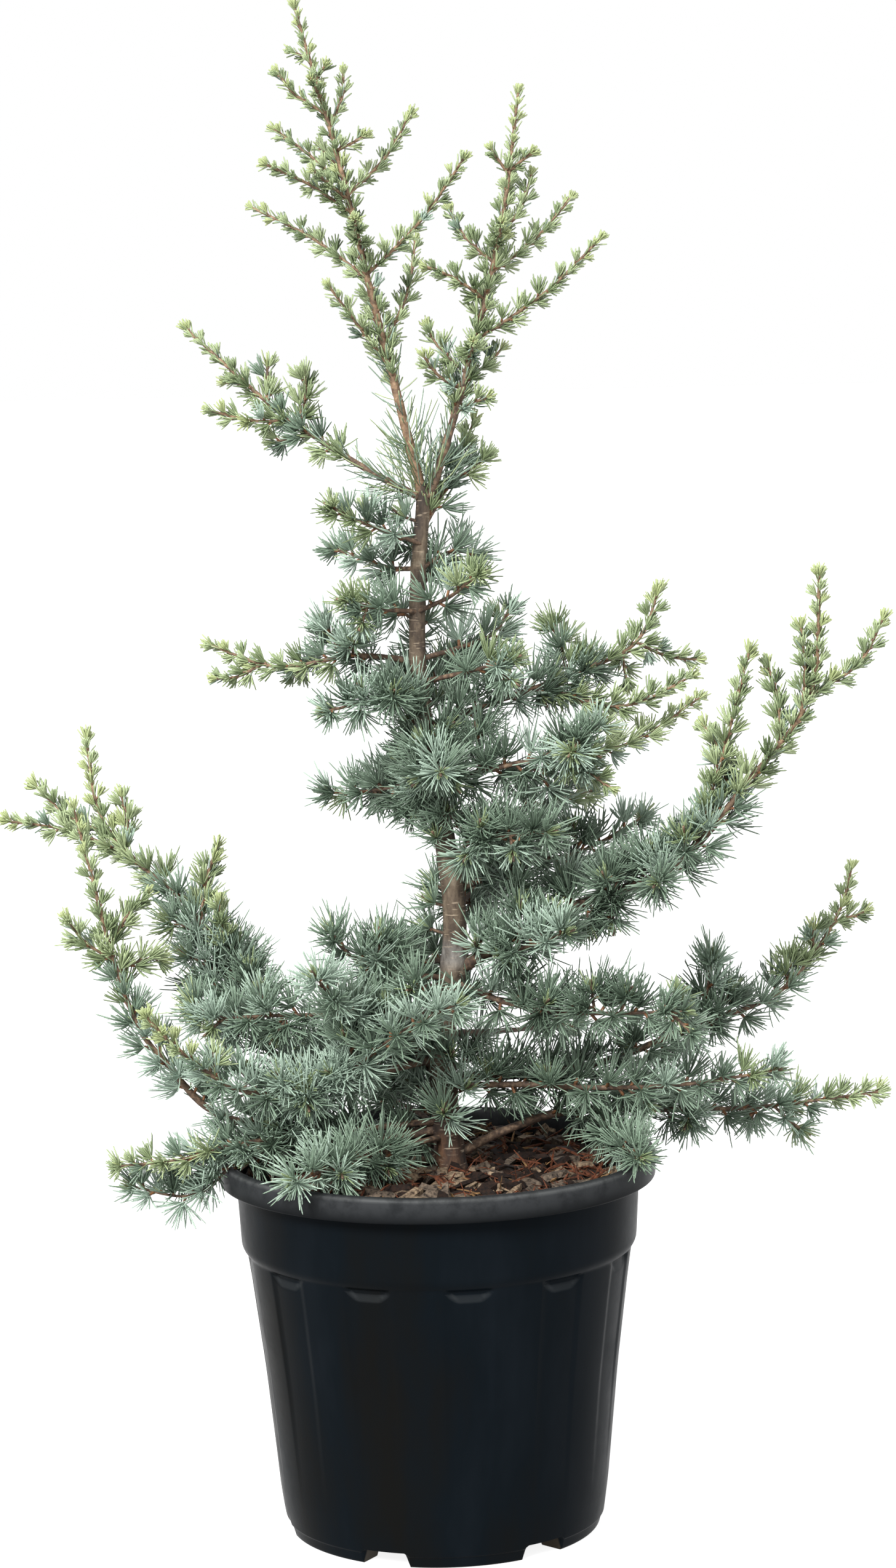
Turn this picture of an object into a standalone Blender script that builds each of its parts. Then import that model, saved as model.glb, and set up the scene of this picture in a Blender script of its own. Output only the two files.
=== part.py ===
"""Young blue atlas cedar in a black nursery pot, life size, in metres with +Z up.

The origin is on the ground under the pot's axis, and -Y is the front. Limbs are rows of a table: the
points that a limb passes are read in the front view, across and up in millimetres, and its tip's depth
puts it before or behind the trunk. Twigs and whorls of needles grow along them by a seeded rule.
"""
import math
import random
from collections import namedtuple

import bmesh
import bpy
from mathutils import Matrix, Vector
from mathutils.bvhtree import BVHTree

MM = 0.001
CLEAR = 0.35 * MM            # gap that keeps touching pieces apart
UP = Vector((0.0, 0.0, 1.0))
SEED = 7

# Front view: the height and distance, in millimetres, of the eye that the limbs are read from
EYE = Vector((14.0, -3000.0, 946.0))

# Pot, in metres
POT_HEIGHT = 0.289
LIP_RADIUS = 0.165
LIP_FOOT = 0.270             # height of the rolled lip's lower edge
LIP_ROUND = 0.0014           # how far the lip's corners are rounded off
COLLAR_TOP_RADIUS = 0.1524
COLLAR_FOOT = 0.2195         # height where the collar steps in to the tapering wall
COLLAR_FOOT_RADIUS = 0.1478
WALL_TOP = 0.204
WALL_TOP_RADIUS = 0.1440
PANEL_MIDDLE = 0.125         # height where the wall's panels are pressed in furthest
PANEL_MIDDLE_RADIUS = 0.1341
PANEL_DEPTH = 0.0016
PANELS = 12
WALL_FOOT = 0.035
WALL_FOOT_RADIUS = 0.1252
STEP_TOP = 0.009             # height where the wall steps in, just above the ground
STEP_TOP_RADIUS = 0.1216
STEP_FOOT = 0.0075
STEP_FOOT_RADIUS = 0.1188
BASE_RADIUS = 0.1178
FLOOR_RADIUS = 0.1185        # of the floor's upper side, where the inner wall starts
POT_STEPS = 36
FLOOR_UNDER = 0.012
FLOOR_TOP = 0.0148
FOOT_RING_INNER = 0.098
PAD_RADIUS = 0.026           # flat pad in the middle of the underside
DRAFT = 0.001                # slope of the upright faces under the floor
FEET = 6
FOOT_GAP_TURN = math.radians(-111.5)
FOOT_GAP_HALF = 0.0195       # half the gap's width at the ground; it narrows upwards
FOOT_GAP_RISE = 0.011
FOOT_GAP_LENGTH = 0.044
HEXAGON_FLAT = math.cos(math.radians(30))    # from a hexagon's middle to its sides, for corners at 1
MULCH_TOP = 0.2715
MULCH_SWELL = 0.0012         # how far the mulch stands up midway between trunk and wall
MULCH_DIP = 0.0022           # how far it sinks at the wall
SHARP = math.radians(35)     # edges that turn more than this stay crisp

# Trunk: across, height, depth and radius in millimetres, from the flat cut up to the fork
TRUNK_SIDES = 10
TRUNK = [
    (10, 271.9, 0, 14.5), (10, 279, 0, 12.4), (9, 292, 0, 11.2), (7, 325, 1, 10.6), (5, 366, 2, 9.9),
    (9, 402, 2, 9.6), (15, 428, 0, 9.9), (17, 462, -2, 9.0), (15, 495, -3, 8.5), (7, 550, -2, 7.8),
    (-1, 600, 1, 7.1), (-6, 650, 3, 6.4), (-6, 700, 4, 6.1), (-3, 745, 3, 5.6), (0, 778, 1, 5.2),
    (0, 793, 0, 4.6),
]

# A limb: the points it passes in the front view, its tip's depth, its base radius, the share of its
# length that is a bare bough, how young it is at its base and tip (0 old rosettes, 1 young tufts), and
# its shoots: where each leaves the limb, its tip in the front view, and how far it turns back or bows.
Limb = namedtuple("Limb", "name path depth radius bare young shoots")
Shoot = namedtuple("Shoot", "share across height depth bow", defaults=(0, 0))

LIMBS = [
    Limb("leader_left", [(0, 784), (-14, 845), (-37, 944), (-57, 1034), (-87, 1147)], -16, 4.2, 0.22,
         (0.8, 1.0), [
             Shoot(0.26, -68, 943, -26), Shoot(0.31, -1, 975, 44, -6), Shoot(0.45, 38, 1034, -34, -5),
             Shoot(0.445, -124, 1000, 30, -4), Shoot(0.575, -113, 1031, -32, -3), Shoot(0.61, -1, 1067, 34, -5),
             Shoot(0.625, -106, 1057, 26, -2), Shoot(0.60, -77, 1026, -34), Shoot(0.70, -33, 1050, -12),
             Shoot(0.75, -51, 1098, 10, -4), Shoot(0.775, -102, 1099, -6, 4), Shoot(0.84, -63, 1103, -8),
             Shoot(0.885, -92, 1112, 8), Shoot(0.37, -38, 935, 52), Shoot(0.51, -46, 990, -54),
             Shoot(0.66, -72, 1044, 46), Shoot(0.80, -76, 1092, -34)]),
    Limb("leader_right", [(5, 782), (27, 850), (45, 911), (65, 997), (77, 1082)], 24, 3.8, 0.2,
         (0.7, 1.0), [
             Shoot(0.215, 53, 858, -16), Shoot(0.27, 1, 890, -20, 4), Shoot(0.31, 4, 912, 12, 4),
             Shoot(0.30, 63, 894, 18, -3), Shoot(0.39, 138, 973, -32, -5), Shoot(0.49, 3, 954, -26, -3),
             Shoot(0.555, 116, 1003, 30, -4), Shoot(0.58, 22, 997, 30, 4), Shoot(0.64, 86, 1022, 14, -5),
             Shoot(0.79, 54, 1040, -6), Shoot(0.80, 88, 1036, -10), Shoot(0.34, 40, 898, -50),
             Shoot(0.46, 50, 936, 50), Shoot(0.61, 63, 985, -44), Shoot(0.72, 72, 1022, 40)]),
    Limb("upper_left", [(-3, 783), (-50, 810), (-109, 852), (-175, 914)], 60, 3.0, 0.26, (0.55, 1.0), [
        Shoot(0.42, -115, 825, 10), Shoot(0.50, -160, 852, -14, 4), Shoot(0.48, -86, 881, -10, -4),
        Shoot(0.60, -113, 888, 8)]),
    Limb("fork_right", [(-2, 757), (19, 792), (33, 824), (41, 843)], 40, 1.7, 0.0, (0.5, 0.9), [
        Shoot(0.45, 54, 813, 6)]),
    Limb("left_1", [(-1, 748), (-32, 760), (-52, 768), (-75, 781)], -40, 2.0, 0.0, (0.3, 0.7), [
        Shoot(0.55, -45, 781, 6)]),
    Limb("right_1", [(-1, 731), (20, 742), (43, 739)], 60, 2.0, 0.0, (0.2, 0.5), []),
    Limb("left_2", [(-4, 730), (-25, 731), (-50, 740), (-72, 748)], 52, 2.0, 0.0, (0.3, 0.6), []),
    Limb("right_2", [(-5, 698), (19, 709), (31, 718), (48, 728)], -52, 2.0, 0.0, (0.2, 0.6), []),
    Limb("left_3", [(-6, 698), (-30, 700), (-47, 704), (-67, 709)], -40, 2.0, 0.0, (0.2, 0.6), []),
    Limb("left_4", [(-6, 661), (-55, 666), (-112, 659), (-165, 678)], 48, 2.6, 0.22, (0.2, 0.9), [
        Shoot(0.36, -82, 695, 10, -4), Shoot(0.72, -162, 651, -8, 4), Shoot(0.30, -53, 679, -30)]),
    Limb("right_3", [(-6, 662), (30, 672), (52, 682), (66, 705)], 56, 2.2, 0.0, (0.1, 0.7), []),
    Limb("right_4", [(-6, 645), (25, 651), (50, 657), (72, 664)], -56, 2.2, 0.0, (0.1, 0.6), []),
    Limb("left_5", [(-6, 634), (-43, 631), (-65, 627), (-84, 623)], -44, 2.2, 0.0, (0.1, 0.6), [
        Shoot(0.28, -24, 640, -34)]),
    Limb("right_5", [(-3, 611), (47, 628), (115, 651), (157, 672), (176, 715)], 70, 3.2, 0.25,
         (0.05, 0.9), [
             Shoot(0.42, 202, 647, -26, -20), Shoot(0.52, 94, 696, 14), Shoot(0.78, 207, 657, 10, -4)]),
    Limb("front_1", [(0, 594), (6, 586), (9, 574)], -78, 2.4, 0.0, (0.0, 0.3), []),
    Limb("left_6", [(4, 571), (-30, 566), (-60, 563), (-85, 565)], 44, 2.2, 0.0, (0.1, 0.5), []),
    Limb("right_6", [(6, 562), (32, 575), (85, 587), (118, 602), (136, 618)], -40, 3.0, 0.3,
         (0.0, 0.5), [Shoot(0.55, 207, 631, 76, -14)]),
    Limb("right_7", [(15, 507), (30, 524), (60, 528), (97, 531)], -76, 2.2, 0.0, (0.0, 0.2), []),
    Limb("right_8", [(16, 487), (70, 506), (113, 515), (168, 544)], 72, 2.8, 0.3, (0.0, 0.5), []),
    Limb("right_9", [(17, 427), (104, 472), (180, 501), (238, 564), (286, 630), (294, 725)], -96, 5.4,
         0.27, (0.0, 1.0), [
             Shoot(0.46, 242, 668, -24, -2), Shoot(0.52, 204, 613, 16, -12), Shoot(0.69, 253, 658, 12, -3),
             Shoot(0.75, 279, 686, -14, -3), Shoot(0.785, 343, 690, 8, -11)]),
    Limb("front_2", [(16, 446), (50, 440), (80, 446), (108, 456)], -88, 2.6, 0.0, (0.0, 0.3), [
        Shoot(0.5, 68, 481, -8)]),
    Limb("low_right_1", [(13, 419), (55, 401), (106, 392), (197, 391)], -92, 2.8, 0.0, (0.0, 0.6), []),
    Limb("left_7", [(14, 421), (-26, 425), (-62, 440), (-81, 466)], -52, 2.4, 0.0, (0.0, 0.3), []),
    Limb("front_3", [(11, 412), (0, 415), (-21, 412)], -88, 2.4, 0.0, (0.0, 0.2), []),
    Limb("left_8", [(9, 399), (-35, 389), (-68, 399), (-93, 430)], -104, 2.4, 0.0, (0.0, 0.3), []),
    Limb("left_9", [(6, 388), (-60, 393), (-117, 395), (-188, 392)], -34, 2.6, 0.0, (0.0, 0.3), []),
    Limb("left_outer_1", [(5, 372), (-60, 361), (-121, 364), (-157, 439), (-188, 485), (-223, 517),
                          (-248, 554), (-256, 614)], 110, 4.4, 0.3, (0.0, 1.0), [
        Shoot(0.58, -158, 530, 10, 3), Shoot(0.755, -322, 548, -24, -6), Shoot(0.765, -232, 570, 14, -3),
        Shoot(0.80, -298, 578, 12, 7)]),
    Limb("left_low_1", [(6, 361), (-33, 352), (-108, 336), (-150, 339), (-186, 364), (-221, 399)], -112,
         3.4, 0.18, (0.0, 0.9), [Shoot(0.32, 26, 405, -78, 6)]),
    Limb("low_right_2", [(7, 345), (70, 346), (130, 355), (197, 381), (259, 404), (302, 457), (317, 502)],
         120, 4.0, 0.42, (0.0, 1.0), [Shoot(0.53, 212, 440, -12), Shoot(0.875, 330, 466, 6)]),
    Limb("low_right_3", [(8, 338), (63, 338), (129, 334), (195, 336), (266, 346)], -50, 3.0, 0.25,
         (0.0, 0.4), []),
    Limb("left_outer_2", [(8, 306), (-60, 298), (-122, 308), (-170, 323), (-202, 359), (-224, 390),
                          (-242, 447), (-254, 501), (-268, 561)], -30, 4.2, 0.42, (0.2, 1.0), [
        Shoot(0.70, -199, 440, 12, 4), Shoot(0.72, -277, 477, -14, 5), Shoot(0.745, -211, 492, 10, 3)]),
    Limb("left_low_2", [(8, 312), (-80, 304), (-150, 297), (-193, 286), (-250, 281)], -78, 3.0, 0.3,
         (0.0, 0.7), [Shoot(0.58, -241, 268, -16, 25)]),
    Limb("left_low_3", [(9, 300), (-40, 289), (-85, 275), (-118, 265)], -150, 2.6, 0.0, (0.0, 0.2), [
        Shoot(0.66, -72, 268, -30)]),
    Limb("low_right_4", [(11, 284), (60, 306), (110, 317), (230, 316), (341, 327)], 56, 3.8, 0.32,
         (0.0, 0.8), [Shoot(0.34, 158, 277, -118, -6), Shoot(0.55, 187, 300, -24), Shoot(0.7, 235, 300, 20)]),
    Limb("back_1", [(-5, 640), (12, 650), (27, 662)], 118, 2.4, 0.0, (0.1, 0.6), []),
    Limb("back_2", [(2, 584), (-22, 573), (-42, 571)], 140, 2.6, 0.0, (0.0, 0.5), []),
    Limb("back_3", [(8, 543), (60, 547), (128, 562)], 156, 2.8, 0.0, (0.0, 0.5), []),
    Limb("back_4", [(17, 474), (34, 488), (52, 500)], 196, 3.0, 0.0, (0.0, 0.6), []),
    Limb("back_5", [(14, 436), (-22, 431), (-52, 428)], 196, 3.0, 0.0, (0.0, 0.6), []),
    Limb("back_6", [(6, 378), (60, 380), (112, 384)], 210, 3.2, 0.0, (0.0, 0.6), []),
    Limb("back_7", [(7, 350), (-50, 362), (-102, 368)], 214, 3.2, 0.0, (0.0, 0.6), []),
    Limb("back_8", [(9, 300), (-20, 322), (-50, 332)], 190, 3.0, 0.0, (0.0, 0.4), []),
]

# Twigs and their needles, in millimetres
TWIG_SIDES = 3
BOUGH_SIDES = 6
TWIG_TIP_RADIUS = 0.9
SHOOT_RADIUS = 1.3
BOUGH_STEP = 30.0            # length of one straight stretch of a bough
NEEDLE_ROOT = 4.2            # length of twig that one ring of needles stands on
NEEDLE_CUSHION = 1.1         # how much thicker the twig is under a ring of needles
SQUARE_END = 1.5             # last stretch of a limb, which makes its end square to its run
TIP_NEEDLE = 9.0             # the last needle, which goes on where the twig ends
TWIST = math.radians(25)     # how far each ring of needles is turned from the one before
OLD_WHORL = (23.0, 4.0, 34.0)     # needle length, how far its tip leans forward, and whorl spacing
YOUNG_WHORL = (12.0, 10.0, 36.0)
FIRST_RING = 2.5             # needle roots from a twig's start to the lowest place for a ring
RING_REACH = 1.2             # needle roots from a ring to the middles of its faces, at most
LENGTH_RANGE = (0.85, 1.1)   # share of its ring's length that a needle has
LEAN_AHEAD = (1.4, 0.25)     # shares of the ring's lean, and of its needles' length, that the front
LEAN_BEHIND = (0.5, -0.1)    # row leans forward by, and the same for the row behind it
ELBOW_ROOM = 1.15            # how much wider than itself the space is that a needle must find free
GOLDEN_ANGLE = math.radians(137.5)

# Short side shoots on old stems, which the front view doesn't read one by one, in millimetres
FILL_EVERY = 110.0
FILL_LENGTH = (24.0, 42.0)
FILL_OLD = 0.6               # how young a stem may be there
FILL_HEADING = (0.8, 0.6, 0.15)   # how far a shoot heads out, forward and up
FILL_SAG = 1.5

BARK = ("bark", (0.115, 0.080, 0.060), 0.85)
NEEDLES = ("blue_green_needles", (0.150, 0.235, 0.190), 0.55)
POT_PLASTIC = ("black_plastic", (0.012, 0.013, 0.016), 0.38)
MULCH = ("bark_mulch", (0.090, 0.048, 0.030), 0.95)


class Path:
    """A smooth run through given corners, looked up by its share of the length."""

    SPAN_STEPS = 12

    def __init__(self, corners):
        ends = [corners[0] * 2 - corners[1]] + list(corners) + [corners[-1] * 2 - corners[-2]]
        self.points = []
        for a, b, c, d in zip(ends, ends[1:], ends[2:], ends[3:]):
            for step in range(self.SPAN_STEPS):
                self.points.append(self.between(a, b, c, d, step / self.SPAN_STEPS))
        self.points.append(corners[-1].copy())
        self.reach = [0.0]
        for a, b in zip(self.points, self.points[1:]):
            self.reach.append(self.reach[-1] + (b - a).length)
        self.length = self.reach[-1]

    @staticmethod
    def between(a, b, c, d, t):
        """A point of the Catmull-Rom span from B to C."""
        return 0.5 * (2 * b + (c - a) * t + (2 * a - 5 * b + 4 * c - d) * t**2
                      + (3 * b - 3 * c + d - a) * t**3)

    def at(self, share):
        goal = min(max(share, 0.0), 1.0) * self.length
        index = 1
        while index < len(self.reach) - 1 and self.reach[index] < goal:
            index += 1
        start, stop = self.reach[index - 1], self.reach[index]
        return self.points[index - 1].lerp(self.points[index], (goal - start) / (stop - start))

    def heading(self, share):
        ahead = self.at(share + 0.01)
        behind = self.at(share - 0.01)
        return (ahead - behind).normalized()


def from_front(across, height, depth):
    """The true place of a point read in the front view, DEPTH behind the pot's axis, in millimetres."""
    flat = Vector((across, 0.0, height))
    return EYE + (flat - EYE) * ((depth - EYE.y) / -EYE.y)


def blend(start, end, share):
    return start + (end - start) * share


def clear_scene():
    for old in list(bpy.data.objects):
        bpy.data.objects.remove(old)


def new_collection(name):
    made = bpy.data.collections.new(name)
    bpy.context.scene.collection.children.link(made)
    return made


def material(look):
    name, colour, roughness = look
    made = bpy.data.materials.get(name)
    if made is None:
        made = bpy.data.materials.new(name)
        made.use_nodes = True
        shader = made.node_tree.nodes["Principled BSDF"]
        shader.inputs["Base Color"].default_value = (*colour, 1.0)
        shader.inputs["Roughness"].default_value = roughness
        shader.inputs["Metallic"].default_value = 0.0
    return made


def add_object(name, mesh, collection, look=None):
    made = bpy.data.objects.new(name, mesh)
    collection.objects.link(made)
    if look is not None:
        mesh.materials.clear()
        mesh.materials.append(material(look))
        mesh.shade_smooth()
        mesh.set_sharp_from_angle(angle=SHARP)
    return made


def evaluated_mesh(holder):
    """The mesh of an object as its modifiers, or its curve's bevel, make it."""
    bpy.context.view_layer.update()
    graph = bpy.context.evaluated_depsgraph_get()
    return bpy.data.meshes.new_from_object(holder.evaluated_get(graph))


def three_sided_profile(guides):
    """The triangle that twigs are drawn with, one unit in radius."""
    data = bpy.data.curves.new("twig_profile", "CURVE")
    data.dimensions = "2D"
    corners = data.splines.new("POLY")
    corners.points.add(2)
    for index, corner in enumerate(corners.points):
        angle = -2 * math.pi * index / 3
        corner.co = (math.cos(angle), math.sin(angle), 0.0, 1.0)
    corners.use_cyclic_u = True
    profile = bpy.data.objects.new("twig_profile", data)
    guides.objects.link(profile)
    profile.hide_render = True
    profile.display_type = "WIRE"
    return profile


def tube_mesh(points, radii, sides, guides, twist=0.0):
    """A closed tapering tube through POINTS, turned by TWIST from each to the next, in millimetres."""
    data = bpy.data.curves.new("tube", "CURVE")
    data.dimensions = "3D"
    data.use_fill_caps = True
    if sides == TWIG_SIDES:
        data.bevel_mode = "OBJECT"
        data.bevel_object = bpy.data.objects["twig_profile"]
    else:
        data.bevel_depth = 1.0
        data.bevel_resolution = sides // 2 - 2
    run = data.splines.new("POLY")
    run.points.add(len(points) - 1)
    for index, (slot, place, radius) in enumerate(zip(run.points, points, radii)):
        slot.co = (*(place * MM), 1.0)
        slot.radius = radius * MM
        slot.tilt = index * twist
    holder = bpy.data.objects.new("tube", data)
    guides.objects.link(holder)
    mesh = evaluated_mesh(holder)
    bpy.data.objects.remove(holder)
    bpy.data.curves.remove(data)
    shape = bmesh.new()
    shape.from_mesh(mesh)
    bmesh.ops.remove_doubles(shape, verts=shape.verts, dist=1e-6)
    bmesh.ops.recalc_face_normals(shape, faces=shape.faces)
    shape.to_mesh(mesh)
    shape.free()
    return mesh


class Occupied:
    """The space that pieces take up, as small search trees kept by the cells that they reach into."""

    CELL = 0.03

    def __init__(self):
        self.cells = {}

    def keys(self, points):
        low = [math.floor(min(p[axis] for p in points) / self.CELL) for axis in range(3)]
        high = [math.floor(max(p[axis] for p in points) / self.CELL) for axis in range(3)]
        return [(x, y, z) for x in range(low[0], high[0] + 1) for y in range(low[1], high[1] + 1)
                for z in range(low[2], high[2] + 1)]

    def is_free(self, points, faces, owner):
        """Whether a closed shape stays clear of all that other owners have placed."""
        tree = BVHTree.FromPolygons(points, faces)
        tried = set()
        for key in self.keys(points):
            for other, other_owner in self.cells.get(key, ()):
                if other_owner == owner or id(other) in tried:
                    continue
                tried.add(id(other))
                if tree.overlap(other):
                    return False
        return True

    def add(self, points, faces, owner):
        tree = BVHTree.FromPolygons(points, faces)
        for key in self.keys(points):
            self.cells.setdefault(key, []).append((tree, owner))


def swollen(mesh, swell):
    """A mesh's points, pushed out by SWELL metres, and its faces."""
    points = [corner.co + corner.normal * swell for corner in mesh.vertices]
    return points, [tuple(face.vertices) for face in mesh.polygons]


class Twig:
    """A three-sided twig with rings of needles that stand out of its sides."""

    NEEDLE_FACES = [(0, 1, 4), (1, 2, 4), (2, 3, 4), (3, 0, 4), (3, 2, 1, 0)]

    def __init__(self, path, start, radius, young, guides, draw):
        """RADIUS gives the twig's radius at a share of PATH, and YOUNG how young it is at its two ends."""
        self.draw = draw
        stop = 1.0 - TIP_NEEDLE / path.length
        root = NEEDLE_ROOT / path.length
        self.rings = []
        share = stop - root
        while share > start + FIRST_RING * root:
            age = blend(*young, share)
            length, lean, spacing = (blend(old, new, age) for old, new in zip(OLD_WHORL, YOUNG_WHORL))
            self.rings.append((share, length, lean))
            share -= spacing / path.length
        stations = [(start, 0.0), (start + SQUARE_END / path.length, 0.0), (stop, 0.0)]
        for index, (share, length, lean) in enumerate(self.rings):
            stations += [(share - root, 0.0), (share, NEEDLE_CUSHION)]
            if index > 0:
                stations.append((share + root, 0.0))
        stations.sort()
        self.centres = [path.at(share) for share, cushion in stations]
        radii = [radius(share) + cushion for share, cushion in stations]
        self.mesh = tube_mesh(self.centres, radii, TWIG_SIDES, guides, TWIST)
        self.headings = [path.heading(share) for share, length, lean in self.rings]
        self.places = [path.at(share) for share, length, lean in self.rings]
        self.shape = None

    def open_shape(self):
        self.shape = bmesh.new()
        self.shape.from_mesh(self.mesh)

    def grow_ring(self, order, occupied, owner):
        """Pulls needles out of the sides nearest to one ring, where they stay clear of other masses."""
        share, length, lean = self.rings[order]
        place = self.places[order] * MM
        heading = self.headings[order]
        near = [face for face in self.shape.faces if len(face.verts) == 4
                and (face.calc_center_median() - place).length < NEEDLE_ROOT * RING_REACH * MM]
        for face in near:
            centre = face.calc_center_median()
            leans = LEAN_AHEAD if (centre - place).dot(heading) > 0.0 else LEAN_BEHIND
            forward = lean * leans[0] + length * leans[1]
            reach = length * self.draw.uniform(*LENGTH_RANGE)
            tip = centre + face.normal * reach * MM + heading * forward * MM
            points = [corner.co.copy() for corner in face.verts] + [tip]
            middle = sum(points, Vector()) / len(points)
            wide = [middle + (point - middle) * ELBOW_ROOM for point in points]
            if not occupied.is_free(wide, self.NEEDLE_FACES, owner):
                continue
            occupied.add(points, self.NEEDLE_FACES, owner)
            made = bmesh.ops.poke(self.shape, faces=[face])
            made["verts"][0].co = tip

    def close_shape(self):
        """Draws the twig's end out to its last needle, and gives back the mesh."""
        end = self.centres[-1] * MM
        cap = min((face for face in self.shape.faces if len(face.verts) == 3),
                  key=lambda face: (face.calc_center_median() - end).length)
        heading = (self.centres[-1] - self.centres[-2]).normalized()
        made = bmesh.ops.poke(self.shape, faces=[cap])
        made["verts"][0].co = end + heading * TIP_NEEDLE * MM
        self.shape.to_mesh(self.mesh)
        self.shape.free()
        return self.mesh


def turned(name, profile, steps, collection, look):
    """A solid of revolution: PROFILE is a list of (radius, height), run down its outer side."""
    mesh = bpy.data.meshes.new(name)
    mesh.from_pydata([(r, 0.0, z) for r, z in profile],
                     [(k, k + 1) for k in range(len(profile) - 1)], [])
    holder = bpy.data.objects.new(name, mesh)
    collection.objects.link(holder)
    screw = holder.modifiers.new("turn", "SCREW")
    screw.steps = steps
    screw.render_steps = steps
    screw.use_merge_vertices = True
    screw.merge_threshold = 1e-5
    solid = evaluated_mesh(holder)
    bpy.data.objects.remove(holder)
    return add_object(name, solid, collection, look)


def apply_boolean(target, operation, cutters):
    """Joins or cuts TARGET with a collection of meshes, for good, and removes those meshes."""
    join = target.modifiers.new("join", "BOOLEAN")
    join.operation = operation
    join.operand_type = "COLLECTION"
    join.collection = cutters
    join.solver = "EXACT"
    solid = evaluated_mesh(target)
    target.modifiers.remove(join)
    old = target.data
    target.data = solid
    bpy.data.meshes.remove(old)
    for piece in list(cutters.objects):
        bpy.data.objects.remove(piece)


def keep_largest(target):
    """Drops loose scraps and the walls of any hollow that the join sealed."""
    shape = bmesh.new()
    shape.from_mesh(target.data)
    bmesh.ops.remove_doubles(shape, verts=shape.verts, dist=2e-6)
    bmesh.ops.dissolve_degenerate(shape, edges=shape.edges, dist=1e-6)
    left = set(shape.faces)
    groups = []
    while left:
        group = []
        front = [left.pop()]
        while front:
            face = front.pop()
            group.append(face)
            for edge in face.edges:
                if len(edge.link_faces) != 2:
                    continue
                for other in edge.link_faces:
                    if other in left:
                        left.remove(other)
                        front.append(other)
        groups.append(group)
    groups.sort(key=len)
    scraps = [face for group in groups[:-1] for face in group]
    bmesh.ops.delete(shape, geom=scraps, context="FACES")
    bmesh.ops.triangulate(shape, faces=shape.faces)
    shape.to_mesh(target.data)
    shape.free()


# The pot's inner side, as (radius, height) from the floor up to the lip
INNER_WALL = [
    (FLOOR_RADIUS, FLOOR_TOP), (0.1405, 0.2140), (0.1465, 0.2220), (0.1498, 0.2710),
    (0.1590, 0.2866),
]


def press_panels(pot):
    """Presses the wall's middle ring in, but for the rib between each panel and the next."""
    for corner in pot.data.vertices:
        if abs(corner.co.z - PANEL_MIDDLE) > MM:
            continue
        turn = math.atan2(corner.co.y, corner.co.x) * PANELS / math.tau
        if abs(turn - round(turn)) * PANELS > 1.0:
            shrink = 1.0 - PANEL_DEPTH / PANEL_MIDDLE_RADIUS
            corner.co.x *= shrink
            corner.co.y *= shrink


def build_pot(parts, guides):
    """The pot: rolled lip, collar, panelled tapering wall, recessed floor and six feet round the foot."""
    profile = [(0.0, FLOOR_TOP)] + INNER_WALL + [
        (LIP_RADIUS - 2.7 * LIP_ROUND, POT_HEIGHT), (LIP_RADIUS - LIP_ROUND, POT_HEIGHT - 0.4 * LIP_ROUND),
        (LIP_RADIUS, POT_HEIGHT - 2.5 * LIP_ROUND), (LIP_RADIUS, LIP_FOOT + 1.8 * LIP_ROUND),
        (LIP_RADIUS - LIP_ROUND, LIP_FOOT), (COLLAR_TOP_RADIUS, LIP_FOOT - DRAFT),
        (COLLAR_FOOT_RADIUS + 2 * DRAFT, COLLAR_FOOT + 5 * DRAFT), (COLLAR_FOOT_RADIUS, COLLAR_FOOT),
        (WALL_TOP_RADIUS + 2 * DRAFT, COLLAR_FOOT - DRAFT), (WALL_TOP_RADIUS, WALL_TOP),
        (PANEL_MIDDLE_RADIUS, PANEL_MIDDLE), (WALL_FOOT_RADIUS, WALL_FOOT),
        (STEP_TOP_RADIUS, STEP_TOP), (STEP_FOOT_RADIUS, STEP_FOOT), (BASE_RADIUS, 0.0),
        (FOOT_RING_INNER, 0.0),
        (FOOT_RING_INNER - DRAFT, FLOOR_UNDER), (PAD_RADIUS + DRAFT, FLOOR_UNDER), (PAD_RADIUS, 0.0),
        (0.0, 0.0),
    ]
    pot = turned("pot", profile, POT_STEPS, parts, POT_PLASTIC)
    press_panels(pot)
    cutters = bpy.data.collections.new("foot_gaps")
    guides.children.link(cutters)
    for index in range(FEET):
        angle = FOOT_GAP_TURN + index * math.tau / FEET
        bpy.ops.mesh.primitive_cylinder_add(vertices=6, radius=1.0, depth=FOOT_GAP_LENGTH)
        gap = bpy.context.object
        middle = (BASE_RADIUS + FOOT_RING_INNER) / 2
        gap.matrix_world = (Matrix.Rotation(angle, 4, "Z") @ Matrix.Translation((middle, 0.0, 0.0))
                            @ Matrix.Rotation(math.radians(90), 4, "Y")
                            @ Matrix.Diagonal((FOOT_GAP_RISE / HEXAGON_FLAT, FOOT_GAP_HALF, 1.0, 1.0)))
        for owner in list(gap.users_collection):
            owner.objects.unlink(gap)
        cutters.objects.link(gap)
        gap.hide_render = True
        gap.display_type = "WIRE"
    apply_boolean(pot, "DIFFERENCE", cutters)
    pot.data.shade_smooth()
    pot.data.set_sharp_from_angle(angle=SHARP)
    return pot


def build_mulch(parts):
    """The earth in the pot, with its top of bark mulch, a hair clear of the wall."""
    wall = [(radius - 2 * CLEAR, height + CLEAR / 2) for radius, height in INNER_WALL[2::-1]]
    edge = INNER_WALL[3][0] - 3 * CLEAR
    profile = [
        (0.0, MULCH_TOP), (0.2 * edge, MULCH_TOP), (0.5 * edge, MULCH_TOP + MULCH_SWELL),
        (0.8 * edge, MULCH_TOP), (edge, MULCH_TOP - MULCH_DIP),
    ] + wall + [(0.0, wall[-1][1])]
    return turned("mulch", profile, POT_STEPS, parts, MULCH)


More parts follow.
